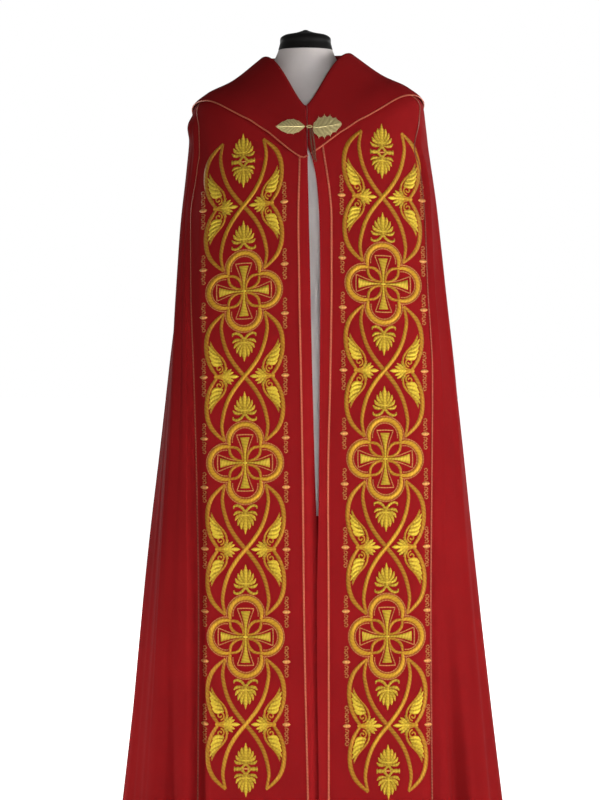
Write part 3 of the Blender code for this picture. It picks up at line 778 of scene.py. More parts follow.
class Recipe:
    """A new material: its coordinates, and the patterns and sums that feed its Principled shader."""

    def __init__(self, name: str) -> None:
        """Make the material and its coordinates.

        Args:
            name: the material's name.
        """
        self.material = bpy.data.materials.new(name)
        self.material.use_nodes = True
        self.tree = self.material.node_tree
        coordinates = add_node(self.tree, "TexCoord", {}, {}).outputs
        self.cloth, self.space = coordinates["UV"], coordinates["Object"]

    def noise(self, scale: float, detail: float, roughness: float = 0.5, where: Socket | None = None) -> Socket:
        """A noise through space, or over another coordinate."""
        inputs = {"Vector": where or self.space, "Scale": scale, "Detail": detail, "Roughness": roughness}
        return add_node(self.tree, "TexNoise", {}, inputs).outputs["Fac"]

    def tone(self) -> Socket:
        """The mesh's own tone."""
        return add_node(self.tree, "Attribute", {"attribute_name": "tone"}, {}).outputs["Fac"]

    def stripes(self, right: float, up: float, pitch: float) -> Socket:
        """A sine wave over the cloth, whose crests stand a pitch apart along a direction.

        Args:
            right: the direction's share to the right.
            up: its share upwards.
            pitch: metres between crests.

        Returns:
            The wave, from -1 to 1.
        """
        wave = [2 * math.pi * part / (pitch * math.hypot(right, up)) for part in (right, up)]
        phase = add_node(self.tree, "VectorMath", {"operation": "DOT_PRODUCT"}, {0: self.cloth, 1: (*wave, 0.0)})
        return counted(self.tree, "SINE", phase.outputs["Value"])

    def layered(self, base: Socket | float, *layers: tuple) -> Socket:
        """A number or socket plus each layer, a socket and its factor.

        Args:
            base: the first number or socket.
            layers: the sockets with their factors.

        Returns:
            The sum.
        """
        for layer, factor in layers:
            base = counted(self.tree, "MULTIPLY_ADD", layer, factor, base)
        return base

    def clamped(self, value: Socket, plus: float) -> Socket:
        """A value moved by a number and kept between 0 and 1."""
        return counted(self.tree, "ADD", value, plus, clamp=True)

    def mixed(self, factor: Socket, first: str, second: str) -> Socket:
        """The colour between two sRGB hex colours."""
        inputs = {0: factor, 6: linear(first), 7: linear(second)}
        return add_node(self.tree, "Mix", {"data_type": "RGBA"}, inputs).outputs[2]

    def bumped(self, height: Socket, strength: float, distance: float) -> Socket:
        """The normal of a fine relief."""
        inputs = {"Strength": strength, "Distance": distance, "Height": height}
        return add_node(self.tree, "Bump", {}, inputs).outputs[0]

    def shaded(self, colour: Socket, inputs: dict) -> Material:
        """The material, with its colour and the shader's other inputs."""
        fill(self.tree, self.tree.nodes["Principled BSDF"], {"Base Color": colour} | inputs)
        return self.material


@dataclass(frozen=True)
class WovenWool:
    """Wool and polyester suiting, woven in a close twill and lightly brushed.

    It gives a matte face with hardly any shine, a soft bloom at the edges and a faint slanting grain.
    """

    name: str
    dyed: str
    deep: str
    roughness: float = 0.88
    twill_pitch: float = 0.0013  # the real twill lines are 0.6 mm apart; drawn coarser so that they show
    hem_stitch: float = 0.032
    stitch_width: float = 0.0009
    stitch_pitch: float = 0.0036
    bloom: str = "#D98078"

    def made(self) -> Material:
        """Build the material.

        Returns:
            The material.
        """
        mix = Recipe(self.name)
        fleck = mix.noise(420.0, 2.0)
        slub = add_node(mix.tree, "Mapping", {}, {"Vector": mix.cloth, "Scale": (900.0, 60.0, 1.0)})
        yarn = mix.noise(1.0, 2.0, where=slub.outputs[0])
        shade = mix.layered(-0.10, (mix.noise(7.0, 3.0, 0.55), 0.9), (fleck, 0.35), (yarn, 0.30))
        up = add_node(mix.tree, "SeparateXYZ", {}, {0: mix.cloth}).outputs[1]
        at_hem = counted(mix.tree, "COMPARE", up, self.hem_stitch, self.stitch_width)
        dash = counted(mix.tree, "GREATER_THAN", mix.stripes(1.0, 0.0, self.stitch_pitch), -0.35)
        stitch = counted(mix.tree, "MULTIPLY", at_hem, dash)
        twill, weft = mix.stripes(1.0, 1.0, self.twill_pitch), mix.stripes(0.0, 1.0, self.twill_pitch * 0.5)
        height = mix.layered(twill, (weft, 0.35), (fleck, 1.6), (at_hem, -3.0), (stitch, 4.5))
        other = {
            "Roughness": mix.layered(self.roughness - 0.05, (fleck, 0.10)),
            "Normal": mix.bumped(height, 0.55, 0.00012),
            "Specular IOR Level": 0.03,
            "Sheen Weight": 0.008,
            "Sheen Roughness": 0.45,
            "Sheen Tint": linear(self.bloom),
        }
        return mix.shaded(mix.mixed(mix.clamped(shade, -0.25), self.deep, self.dyed), other)


@dataclass(frozen=True)
class SatinThread:
    """Rayon and metallised thread, machine embroidered in satin stitch.

    The threads lie side by side across each stroke, so it shines along a soft line and shows a fine rib.
    """

    name: str
    bright: str
    deep: str
    slant: float
    metallic: float = 0.45
    roughness: float = 0.42
    thread_pitch: float = 0.0010  # real threads are 0.4 mm apart; drawn coarser so that they show
    strand_threads: float = 5.6

    def made(self) -> Material:
        """Build the material.

        Returns:
            The material.
        """
        mix = Recipe(self.name)
        rib = mix.stripes(1.0, self.slant, self.thread_pitch)
        strand = mix.stripes(1.0, self.slant, self.thread_pitch * self.strand_threads)
        patch = mix.noise(160.0, 2.0)
        shade = mix.layered(mix.tone(), (rib, 0.16), (strand, 0.13), (patch, 0.5))
        other = {
            "Roughness": mix.layered(self.roughness - 0.08, (patch, 0.16)),
            "Normal": mix.bumped(mix.layered(rib, (patch, 0.8)), 0.7, 0.00015),
            "Metallic": self.metallic,
            "Specular IOR Level": 0.22,
        }
        return mix.shaded(mix.mixed(mix.clamped(shade, -0.25), self.deep, self.bright), other)


@dataclass(frozen=True)
class AgedBrass:
    """Cast brass with an antique finish: dark in the hollows, rubbed bright on the veins and rims."""

    name: str
    rubbed: str
    patina: str
    roughness: float = 0.40

    def made(self) -> Material:
        """Build the material.

        Returns:
            The material.
        """
        mix = Recipe(self.name)
        blotch, grain = mix.noise(240.0, 4.0), mix.noise(1400.0, 2.0)
        worn = mix.clamped(mix.layered(mix.tone(), (blotch, 0.7)), -0.35)
        other = {
            "Roughness": mix.layered(self.roughness + 0.16, (worn, -0.22)),
            "Normal": mix.bumped(mix.layered(grain, (blotch, 0.6)), 0.5, 0.00008),
            "Metallic": 0.9,
        }
        return mix.shaded(mix.mixed(worn, self.patina, self.rubbed), other)


@dataclass(frozen=True)
class CottonJersey:
    """Knitted cotton jersey, stretched over the form's padding: dull, with fine upright wales."""

    name: str
    bleached: str
    shadow: str
    wale_pitch: float = 0.0016  # real wales are 0.9 mm apart; drawn coarser so that they show

    def made(self) -> Material:
        """Build the material.

        Returns:
            The material.
        """
        mix = Recipe(self.name)
        wale = mix.stripes(1.0, 0.0, self.wale_pitch)
        knit = mix.layered(wale, (mix.stripes(0.35, 1.0, self.wale_pitch * 0.8), 0.6))
        soil = mix.layered(mix.noise(14.0, 4.0), (wale, 0.06))
        other = {"Roughness": 0.93, "Normal": mix.bumped(knit, 0.4, 0.00012), "Specular IOR Level": 0.2}
        return mix.shaded(mix.mixed(mix.clamped(soil, 0.15), self.shadow, self.bleached), other)


@dataclass(frozen=True)
class SatinPaint:
    """Sprayed paint over wood or steel: nearly black, softly shining, with a faint orange peel."""

    name: str
    paint: str
    dusty: str
    roughness: float
    shine: float = 0.25

    def made(self) -> Material:
        """Build the material.

        Returns:
            The material.
        """
        mix = Recipe(self.name)
        dust = mix.noise(30.0, 5.0)
        other = {
            "Roughness": mix.layered(self.roughness - 0.1, (dust, 0.2)),
            "Normal": mix.bumped(mix.noise(420.0, 1.0), 0.15, 0.0002),
            "Specular IOR Level": self.shine,
        }
        return mix.shaded(mix.mixed(dust, self.paint, self.dusty), other)


@dataclass(frozen=True)
class LitAcrylic:
    """Opal acrylic sheet, lit from beneath: the even white of a studio floor."""

    name: str
    white: str
    hazy: str
    glow: float = 0.95

    def made(self) -> Material:
        """Build the material.

        Returns:
            The material.
        """
        mix = Recipe(self.name)
        haze = counted(mix.tree, "MULTIPLY", mix.noise(3.0, 3.0), 0.04)
        other = {"Emission Color": linear(self.white), "Emission Strength": self.glow}
        other |= {"Roughness": 0.95, "Specular IOR Level": 0.0}
        return mix.shaded(mix.mixed(haze, self.white, self.hazy), other)


class Finishes:
    """Every finish of the cope and its form, made once."""

    def __init__(self) -> None:
        """Build the materials."""
        self.body = WovenWool("woven_wool_body", "#8A1618", "#761214").made()
        self.band = WovenWool("woven_wool_band", "#8F1719", "#7B1315").made()
        self.border = WovenWool("woven_wool_border", "#961A1C", "#831517").made()
        self.collar = WovenWool("woven_wool_collar", "#8A1618", "#761214").made()
        self.strap = SatinThread("satin_thread_old_gold", "#BC8E20", "#80460A", 0.8).made()
        self.leaf = SatinThread("satin_thread_bright_gold", "#CAAE32", "#7E5C10", 0.25).made()
        self.palm = SatinThread("satin_thread_olive_gold", "#C8AA2E", "#7C5810", 0.25).made()
        self.fine = SatinThread("satin_thread_rose_gold", "#D09250", "#84441C", 0.0).made()
        self.braid = SatinThread("gimp_braid_rose_gold", "#C06044", "#642419", 0.6, 0.25, 0.5).made()
        self.brass = AgedBrass("aged_brass", "#E2D49A", "#A08E5E").made()
        self.chain = AgedBrass("blackened_brass", "#8A5A48", "#3A221C", 0.5).made()
        self.cover = CottonJersey("cotton_jersey_cover", "#D8D0CD", "#BEB6B2").made()
        self.cap = SatinPaint("satin_black_paint_cap", "#0D0C0B", "#121110", 0.55, 0.10).made()
        self.stand = SatinPaint("satin_black_paint_stand", "#141414", "#24221F", 0.36).made()
        self.floor = LitAcrylic("opal_acrylic_sheet", "#FFFFFF", "#F4F2EE").made()


# ---- The cope's cloth ----


def fall_levels(start: Array, rows: int) -> Array:
    """A column of row levels for each start level: even steps to the hem, plus a part of the start's
    difference that fades with the fourth power of the way left.

    Args:
        start: the first row's level in each column.
        rows: how many rows.

    Returns:
        A grid of levels.
    """
    level = np.linspace(BAND_TOP_LEVEL, HEM_LEVEL, rows)[:, None]
    fade = np.linspace(1.0, 0.0, rows)[:, None] ** 4
    return level + fade * (np.atleast_1d(start) - BAND_TOP_LEVEL)


def seam_angle(level: Array) -> Array:
    """The angle that a seam gap spans at a level."""
    return SEAM_GAP / FORM.ring(level, "front")


def cloth_wall(angle: Array, level: Array, push: Array | float = 0.0) -> Skin:
    """A cloth whose outside is the outer form moved out along its normal by push, one cloth thick.

    Args:
        angle: round the body, in radians.
        level: down the fall.
        push: metres outwards.

    Returns:
        The wall.
    """
    sheer = FORM.normal(angle, level)
    points = FORM.point(angle, level) + sheer * np.asarray(push)[..., None]
    facing = unit(np.cross(np.gradient(points, axis=0), np.gradient(points, axis=1)))
    for edge in (np.s_[:, 0], np.s_[:, -1], np.s_[0], np.s_[-1]):
        facing[edge] = sheer[edge]
    return wall_skin(points, points - facing * CLOTH)


@dataclass(frozen=True)
class BodyCloth:
    """The body of the cope: its sides and back, in soft folds that grow towards the hem."""

    rows: int = 150
    side_columns: int = 66
    back_columns: int = 170
    fold_start: float = 0.250
    fold_end: float = 0.755
    fold_count: int = 9
    fold_depth: float = 0.028
    fold_top: float = 3.4
    drift: float = 0.16
    drift_turns: float = 3.3
    drift_start: float = 0.9
    uneven: float = 0.30
    uneven_turns: float = 2.6
    uneven_start: float = 2.0
    growth_power: float = 1.35
    ripple: float = 0.0005
    ripple_start: float = 3.0
    ripple_reach: float = 2.0
    seam_fade: float = 0.02

    def growth(self, level: Array, top: float) -> Array:
        """How much of its hem depth a fold has reached at a level."""
        return np.clip((level - top) / (HEM_LEVEL - top), 0.0, 1.0) ** self.growth_power

    def push(self, place: Array, level: Array) -> Array:
        """How far the cloth stands out from the form.

        It is the sum of the side folds, each a cosine hump that grows down the fall, the swells and
        creases, each a hump along and across, a wave with an uneven depth round the back, and a ripple.

        Args:
            place: the way round the body, from 0 at the left band to 1 at the right one.
            level: down the fall.

        Returns:
            Metres outwards.
        """
        total = 0.0
        for row in SIDE_FOLDS + SWELLS + CREASES:
            across = bump((place - row.place - row.lean * (HEM_LEVEL - level)) / row.width)
            if isinstance(row, Fold):
                down = self.growth(level, row.top)
            else:
                down = bump((level - row.level) / row.reach)
            total = total + row.depth * down * across
        turn = (place - self.fold_start) / (self.fold_end - self.fold_start)
        wander = np.sin(2 * np.pi * self.drift_turns * turn + self.drift_start)
        wave = np.sin(2 * np.pi * (self.fold_count * turn + self.drift * np.sin(np.pi * turn) * wander))
        uneven = np.sin(2 * np.pi * self.uneven_turns * turn + self.uneven_start)
        depth = self.fold_depth * (1 + self.uneven * uneven)
        inside = (turn > 0) & (turn < 1)
        total = total + np.where(inside, depth * wave * self.growth(level, self.fold_top), 0.0)
        fade = np.clip(np.minimum(place, 1 - place) / self.seam_fade, 0, 1)
        fade = self.ripple * fade * np.clip((level - self.ripple_start) / self.ripple_reach, 0, 1)
        ripple = np.sin(61 * place + 1.9 * level) * np.sin(3.7 * level + 17 * place) + np.sin(97 * place - 2.3 * level)
        return total + ripple * fade

    def build(self, finish: Material) -> None:
        """Make the body of the cope.

        Args:
            finish: its material.
        """
        left = np.linspace(0.0, self.fold_start, self.side_columns, endpoint=False)
        back = np.linspace(self.fold_start, self.fold_end, self.back_columns, endpoint=False)
        place = np.concatenate([left, back, np.linspace(self.fold_end, 1.0, self.side_columns)])
        seam = np.where((place > 0) & (place < 1), YOKE_GAP_LEVELS, 0.0)
        level = fall_levels(BAND_BACK_LEVEL + seam, self.rows)
        first, last = level[:, :1], level[:, -1:]
        left_angle = FORM.line_angle(first, "outer_left") - seam_angle(first)
        right_angle = FORM.line_angle(last, "outer_right") + seam_angle(last) - 2 * np.pi
        angle = left_angle * (1 - place) + right_angle * place
        push = self.push(place[None, :], level)
        skin = cloth_wall(angle[:, ::-1], level[:, ::-1], push[:, ::-1])
        piece = dressed(skin.made("cope_body"), finish, "cope_cloth", "body_cloth")


@dataclass(frozen=True)
class FrontBand:
    """One of the two embroidered bands: from the middle of the back over the shoulder to the hem."""

    side: int
    fall_rows: int = 220
    back_rows: int = 70
    columns: int = 40
    border_columns: int = 13
    border_widths: tuple = (0.029, 0.023)

    @property
    def word(self) -> str:
        """The side's name."""
        return "left" if self.side < 0 else "right"

    def shares(self, count: int) -> Array:
        """Shares of the way from a strip's front line to its outer one, always towards +X."""
        return np.linspace(0.0, 1.0, count)[:: self.side]

    def build_band(self, finish: Material) -> None:
        """Make the wide band.

        Args:
            finish: its material.
        """
        part = np.linspace(0.0, 1.0, self.back_rows, endpoint=False)[:, None]
        middle = self.side * (np.pi - SEAM_GAP / FORM.ring(0.0, "back"))
        across = self.shares(self.columns)
        angle = level = 0.0
        for start, line, share in ((BAND_TOP_LEVEL, "inner_", 1 - across), (BAND_BACK_LEVEL, "outer_", across)):
            fall = fall_levels(start, self.fall_rows)
            front = FORM.line_angle(fall, line + self.word)
            angle = angle + np.concatenate([middle + (front[0] - middle) * part, front]) * share
            level = level + np.concatenate([np.full_like(part, start), fall]) * share
        piece = cloth_wall(angle, level).made("band_" + self.word)
        dressed(piece, finish, "band_cloth", "orphrey_" + self.word)

    def build_border(self, finish: Material) -> None:
        """Make the narrow border along the front edge.

        Args:
            finish: its material.
        """
        level = fall_levels(BAND_TOP_LEVEL, self.fall_rows)
        edge = FORM.line(level, "edge_" + self.word)
        inner = FORM.line(level, "inner_" + self.word) - self.side * SEAM_GAP
        across = self.shares(self.border_columns)
        angle = FORM.angle_at(edge * (1 - across) + inner * across, level)
        tuck = FORM.line(level, "tuck") * (1 - across) ** TUCK_POWER * (self.side < 0)
        piece = cloth_wall(angle, level + 0 * across, -tuck).made("border_strip_" + self.word)
        dressed(piece, finish, "border_cloth", "border_" + self.word)


@dataclass(frozen=True)
class FlatBraid:
    """A narrow gold braid sewn down one line of a band, with its tones at even steps down it: painted
    shade where it lies in a shaded dip, painted highlight where it faces the light.
    """

    line: str
    tones: tuple
    width: float = 0.0036
    thickness: float = 0.0010
    top_level: float = 2.05
    rows: int = 360

    def build(self, finish: Material) -> None:
        """Carry a flat oval section down the line, just outside the cloth.

        Args:
            finish: its material.
        """
        level = np.linspace(self.top_level, HEM_LEVEL - 0.01, self.rows)
        angle = FORM.line_angle(level, self.line)
        outward = FORM.normal(angle, level)
        path = FORM.point(angle, level) + outward * (SEAM_GAP + self.thickness / 2)
        loops = sweep(path, outward, (self.width / 2, self.thickness / 2), 12, square=3.0)
        piece = tube_skin(loops, tones=self.tones).made("gimp_" + self.line)
        dressed(piece, finish, "gold_braid", "braid_" + self.line)


# Each braid's tones down it are painted light: low where the outer braids lie in the shaded dips, high where the inner
# braids face the light.
BRAIDS = table(
    FlatBraid,
    ("inner_left", (0.5, 0.5, 0.65, 0.9, 0.9, 0.8, 0.6)),
    ("inner_right", (0.5, 0.5, 0.65, 0.95, 0.9, 0.9, 0.8)),
    ("outer_left", (0.5, 0.5, 0.5, 0.5, 0.4, 0.05, 0.0), 0.0028),
    ("outer_right", (0.5, 0.4, 0.0, 0.0, 0.6, 0.5, 0.2), 0.0030),
)


@dataclass(frozen=True)
class ShawlCollar:
    """The collar: it stands inside the neck, rolls over and falls flat to a pointed front edge."""

    cloth: float = 0.0024
    fall: float = 0.0036
    stand: float = -0.0050
    stand_levels: float = 0.32
    opening: float = 2.0
    columns: int = 300
    fall_rows: int = 30
    bends: int = 9
    piping: float = 0.0015

    def edge(self, angle: Array, name: str) -> Array:
        """A column of COLLAR_EDGE at any angle, counted from the middle of the front opening."""
        from_front = np.degrees(np.arccos(np.cos(angle - math.radians(self.opening))))
        return smooth(from_front, column(COLLAR_EDGE, "angle"), column(COLLAR_EDGE, name))

    def angles(self, level: Array) -> Array:
        """The collar's columns, from its left front edge round the back to its right one.

        Args:
            level: each column's level.

        Returns:
            The columns' angles.
        """
        place = np.linspace(0.0, 1.0, self.columns)
        right = FORM.line_angle(level, "edge_right") - 2 * np.pi
        return FORM.line_angle(level, "edge_left") * (1 - place) + right * place

    def section(self) -> Array:
        """The collar's section from the lower edge up the fall, over the roll and down the stand.

        Returns:
            A row a step: the share of the fall, the levels down the stand, how far the middle line is
            out and up, and which way, out and up, the cloth faces. The roll is half an ellipse's turn.
        """
        turn, middle = (self.fall - self.stand) / 2, (self.fall + self.stand) / 2
        fall = np.linspace(1.0, 0.0, self.fall_rows)
        none = np.zeros(self.fall_rows)
        falling = np.stack([fall, none, none + self.fall, none, none + 1, none], axis=1)
        bend = np.linspace(0, np.pi, self.bends + 2)[1:-1]
        out, up, flat = np.cos(bend), np.sin(bend), np.zeros(self.bends)
        rolling = np.stack([flat, flat, middle + turn * out, turn * up, out, up], axis=1)
        down = np.linspace(0.0, self.stand_levels, 6)
        still = np.zeros(6)
        standing = np.stack([still, down, still + self.stand, still, still - 1, still], axis=1)
        return np.concatenate([falling, rolling, standing])

    def points(self, step: Array, share: float) -> Array:
        """One row of the collar's points; the share is 1 on its outside and -1 on its inside.

        Args:
            step: a row of the section.
            share: where in the cloth's thickness.

        Returns:
            One point a column.
        """
        fall, stand, out_by, rise, face_out, face_up = step
        neck = self.angles(np.zeros(1))
        level = fall * self.edge(neck, "level") + stand
        angle = self.angles(level)
        lift = self.edge(angle, "lift") * fall**2
        climb = unit(FORM.point(angle, level * 0) - FORM.point(angle, level * 0 + 0.02))
        half = share * self.cloth / 2
        out = (out_by + lift + half * face_out)[:, None] * FORM.normal(angle, level)
        return FORM.point(angle, level) + out + (rise + half * face_up) * climb

    def build(self, finish: Material) -> None:
        """Make the collar.

        Args:
            finish: its material.
        """
        steps = self.section()
        outside = np.stack([self.points(step, 1.0) for step in steps])
        inside = np.stack([self.points(step, -1.0) for step in steps])
        skin = wall_skin(outside[::-1, ::-1], inside[::-1, ::-1])
        piece = dressed(skin.made("shawl_collar"), finish, "collar_cloth", "collar")

    def build_piping(self, finish: Material) -> None:
        """Make the thin gold cord along the collar's lower edge, just outside it.

        Args:
            finish: its material.
        """
        edge = self.points(self.section()[0], 0.0)
        level = self.edge(self.angles(np.zeros(1)), "level")
        outward = FORM.normal(self.angles(level), level)
        away = unit(np.cross(outward, np.gradient(edge, axis=0)))
        path = edge + away * (self.piping + SEAM_GAP)
        skin = tube_skin(sweep(path, outward, (self.piping, self.piping), 12), tones=(0.85, 0.75, 0.85))
        dressed(skin.made("collar_edge_cord"), finish, "gold_braid", "collar_piping")


# ---- Embroidery ----


class Thread(Enum):
    """Which thread a stroke is stitched in."""

    STRAP = "straps"
    LEAF = "leaves"
    PALM = "palmettes"
    FINE = "fine_lines"


@dataclass(frozen=True)
class Stroke:
    """One satin-stitched stroke of the ornament, in drawing units to the right and down.

    widths are full widths at even steps along it, crown is its height in metres, tone is from 0, dull,
    to 1, bright, or several tones at even steps, and over lifts its middle, where it passes over another.
    """

    line: tuple
    widths: tuple
    thread: Thread
    crown: float = 0.0011
    tone: float | tuple = 0.5
    steps: int = 13
    over: float = 0.0

    def turned(self, right: float = 1.0, down: float = 1.0) -> "Stroke":
        """The stroke mirrored or stretched about the origin."""
        return replace(self, line=tuple((x * right, y * down) for x, y in self.line))

    def swapped(self) -> "Stroke":
        """The stroke with right and down exchanged."""
        return replace(self, line=tuple((y, x) for x, y in self.line))

    def moved(self, right: float, down: float) -> "Stroke":
        """The stroke moved by some units."""
        return replace(self, line=tuple((x + right, y + down) for x, y in self.line))


def four_ways(strokes: list[Stroke]) -> list[Stroke]:
    """Strokes and their mirror images, left and right, up and down."""
    return [stroke.turned(right, down) for right in (1, -1) for down in (1, -1) for stroke in strokes]


def two_ways(strokes: list[Stroke], down: bool = False) -> list[Stroke]:
    """Strokes and their mirror images, left and right, or up and down."""
    return strokes + [stroke.turned(1 if down else -1, -1 if down else 1) for stroke in strokes]


def arc(centre: tuple, radius: float, start: float, end: float, count: int = 13) -> tuple:
    """Points on a circle between two angles in degrees, counted from the right towards down."""
    turns = np.radians(np.linspace(start, end, count))
    return tuple(zip(centre[0] + radius * np.cos(turns), centre[1] + radius * np.sin(turns)))


def spiral(centre: tuple, radii: tuple, start: float, turns: float, count: int = 15) -> tuple:
    """Points on a spiral whose radius changes evenly with its angle.

    Args:
        centre: its middle.
        radii: its first and last radius.
        start: its first angle, in degrees.
        turns: how many turns, below 0 for backwards.
        count: how many points.

    Returns:
        The points.
    """
    angle = np.radians(start) + 2 * np.pi * np.linspace(0, turns, count)
    radius = np.linspace(radii[0], radii[1], count)
    return tuple(zip(centre[0] + radius * np.cos(angle), centre[1] + radius * np.sin(angle)))


def stitched(thread: Thread, *rows: tuple) -> list[Stroke]:
    """Strokes in one thread, each from its points, its widths and then its other values in order."""
    return [Stroke(line, widths, thread, *rest) for line, widths, *rest in rows]


class Ornament:
    """The strokes of one band's ornament: crossed straps, quatrefoils, leaves and edge scrolls."""

    half_period = 84.5
    crossings = 4
    scroll_right = 41.0
    scroll_down = 24.0

    def straps(self) -> list[Stroke]:
        """The crossed and outer straps round one crossing.

        Returns:
            Its strokes.
        """
        lower = ((0, 0), (5.7, 6.6), (11.2, 13.8), (16.3, 22.4), (19.9, 31.6), (22.3, 41.6), (23, 50.5), (20.6, 63))
        line = tuple((-x, -y) for x, y in lower[:0:-1]) + lower
        outer_line = ((28, 1.2), (32.6, 7.8), (35.9, 14.8), (37.9, 22.4), (38.5, 31.4), (37.3, 41.4))
        outer_line += ((33.6, 50.2), (27.8, 57), (20.4, 63.4))
        under, outer = stitched(
            Thread.STRAP,
            (line, (3.0, 3.9, 4.2, 4.4, 4.3, 4.4, 4.2, 3.9, 3.0), 0.0012, 0.34, 61),
            (outer_line, (3.2, 3.9, 4.2, 4.4, 4.6, 4.8, 4.6, 3.9, 2.6), 0.0012, 0.42, 31),
        )
        over = replace(under.turned(-1, 1), over=0.0009, tone=(0.40, 0.5, 0.7, 0.5, 0.40))
        return [under, over] + four_ways([outer])

    def volutes(self) -> list[Stroke]:
        """The half-leaves that curl out of the straps at their waists: a body, a rim, a curl and lobes.

        Returns:
            Its strokes.
        """
        rim_line = ((30, 0.6), (25.2, 1.2), (21.3, 3), (19, 7.4), (19.4, 13), (22.4, 18.4), (27, 23.4))
        rim_line += ((31.2, 28.8), (34.4, 36))
        curl_line = spiral((25.4, 8.4), (4.3, 0.8), -95, -1.25)
        rim_and_curl = stitched(
            Thread.STRAP,
            (rim_line, (2.4, 2.3, 2.2, 2.2, 2.3, 2.2, 2.0, 1.6, 0.5), 0.0012, 0.55, 31),
            (curl_line, (1.7, 1.7, 1.6, 1.5, 1.6, 2.0), 0.0012, 0.7, 27),
        )
        body, *lobes = stitched(
            Thread.LEAF,
            (((22.6, 11.6), (26, 17.4), (30.6, 24.4), (34.8, 34.6)), (3.0, 5.0, 3.8, 0.6), 0.0008, 0.35, 19),
            (((23.2, 12.6), (26.6, 12), (30.2, 12.8), (33.1, 15.6)), (1.6, 4.0, 4.2, 1.8), 0.0016, (0.7, 1.0, 1.0)),
            (((23.4, 15.6), (27.6, 15.8), (31.6, 17.2), (34.9, 21.2)), (1.6, 4.0, 4.2, 1.7), 0.0016, (0.7, 1.0, 1.0)),
            (((25.2, 19.2), (29.2, 20.2), (32.9, 22.2), (35.8, 26.4)), (1.6, 3.8, 3.8, 1.5), 0.0015, (0.6, 0.9, 0.9)),
            (((28, 23.2), (31.2, 25), (33.8, 27.4), (36.1, 31.6)), (1.4, 3.2, 3.0, 1.1), 0.0014, (0.5, 0.75, 0.7)),
        )
        return four_ways([body] + rim_and_curl + lobes)

    def waist_leaves(self) -> list[Stroke]:
        """The small leaves that point at a crossing from both sides, each with a bright tip.

        Returns:
            Its strokes.
        """
        tip_row = (((14.2, 0), (11.4, 0), (8.6, 0), (5.6, 0)), (2.0, 3.9, 3.7, 0.5), 0.0017, (0.8, 1.2, 1.2))
        middle, *lobes = stitched(
            Thread.PALM,
            (((22, 0), (18.4, 0), (13.6, 0)), (2.2, 4.6, 3.2), 0.0013, 0.8),
            (((20.6, 0.6), (17.8, 3.2), (15.2, 5.6), (13, 7.4)), (1.4, 4.0, 3.6, 0.7), 0.0013, 0.6),
            (((21.6, 1), (20.2, 4.4), (18.8, 7), (17.2, 9.2)), (1.2, 3.4, 3.1, 0.6), 0.0012, 0.4),
            (((18, 0.8), (15.2, 2.4), (12.9, 3.6), (10.8, 4.4)), (1.0, 3.2, 3.0, 0.6), 0.0013, 0.8),
        )
        stem = stitched(Thread.STRAP, (((30.5, 0), (26, 0), (21, 0)), (2.4, 2.0, 2.2), 0.0011, 0.8))
        return two_ways([middle] + stem + stitched(Thread.LEAF, tip_row) + two_ways(lobes, down=True))

    def palmette(self) -> list[Stroke]:
        """A palmette that hangs from a quatrefoil, with its tip at 15 and its foot at 44.

        Returns:
            Its strokes.
        """
        foot_line = ((0.9, 37.2), (3.8, 40.9), (7.8, 42.8), (11.2, 42), (11.7, 39.6))
        body, middle, *petals = stitched(
            Thread.PALM,
            (((0, 37.6), (0, 33), (0, 28), (0, 23), (0, 19)), (4.0, 11.0, 13.5, 10.0, 4.0), 0.0008, 0.25, 15),
            (((0, 38.6), (0, 30), (0, 22), (0, 14.8)), (2.6, 4.0, 4.2, 0.7), 0.0016, (0.4, 0.8, 0.9)),
            (((1.2, 31.6), (3.2, 27.2), (4.2, 23.4), (4, 19.6)), (1.2, 3.4, 3.3, 0.8), 0.0015, (0.4, 0.7, 0.8)),
            (((1.8, 33.2), (5, 29.8), (6.8, 26.8), (7.6, 23.2)), (1.3, 3.6, 3.4, 0.8), 0.0015, (0.4, 0.6, 0.7)),
            (((2.2, 34.6), (6, 32.8), (8.6, 31), (10.2, 28)), (1.3, 3.6, 3.5, 0.8), 0.0014, (0.4, 0.6, 0.7)),
            (((2.2, 36), (6.4, 36.2), (9.6, 35.4), (11.8, 33.2)), (1.3, 3.4, 3.3, 0.8), 0.0014, (0.3, 0.5, 0.6)),
            (foot_line, (2.6, 3.0, 3.0, 2.3, 0.9), 0.0013, 0.45, 19),
        )
        tie = stitched(Thread.LEAF, (((-5.6, 32.4), (0, 33.4), (5.6, 32.4)), (0.8, 1.7, 0.8), 0.0021, 1.1))
        return [body, middle] + tie + two_ways(petals)

    def end_leaf(self) -> list[Stroke]:
        """The double palmette that fills each end of the band, from 16 to 70, tied across its middle.

        Returns:
            Its strokes.
        """
        leaves = []
        for shrink, shift in ((0.93, 4.3), (-1.0, 85.5)):
            for stroke in self.palmette():
                leaves.append(replace(stroke, line=tuple((x * 0.96, y * shrink + shift) for x, y in stroke.line)))
        return leaves + stitched(Thread.FINE, (((-3.4, 43.6), (0, 43.2), (3.4, 43.6)), (0.7, 1.5, 0.7), 0.0020, 1.1))

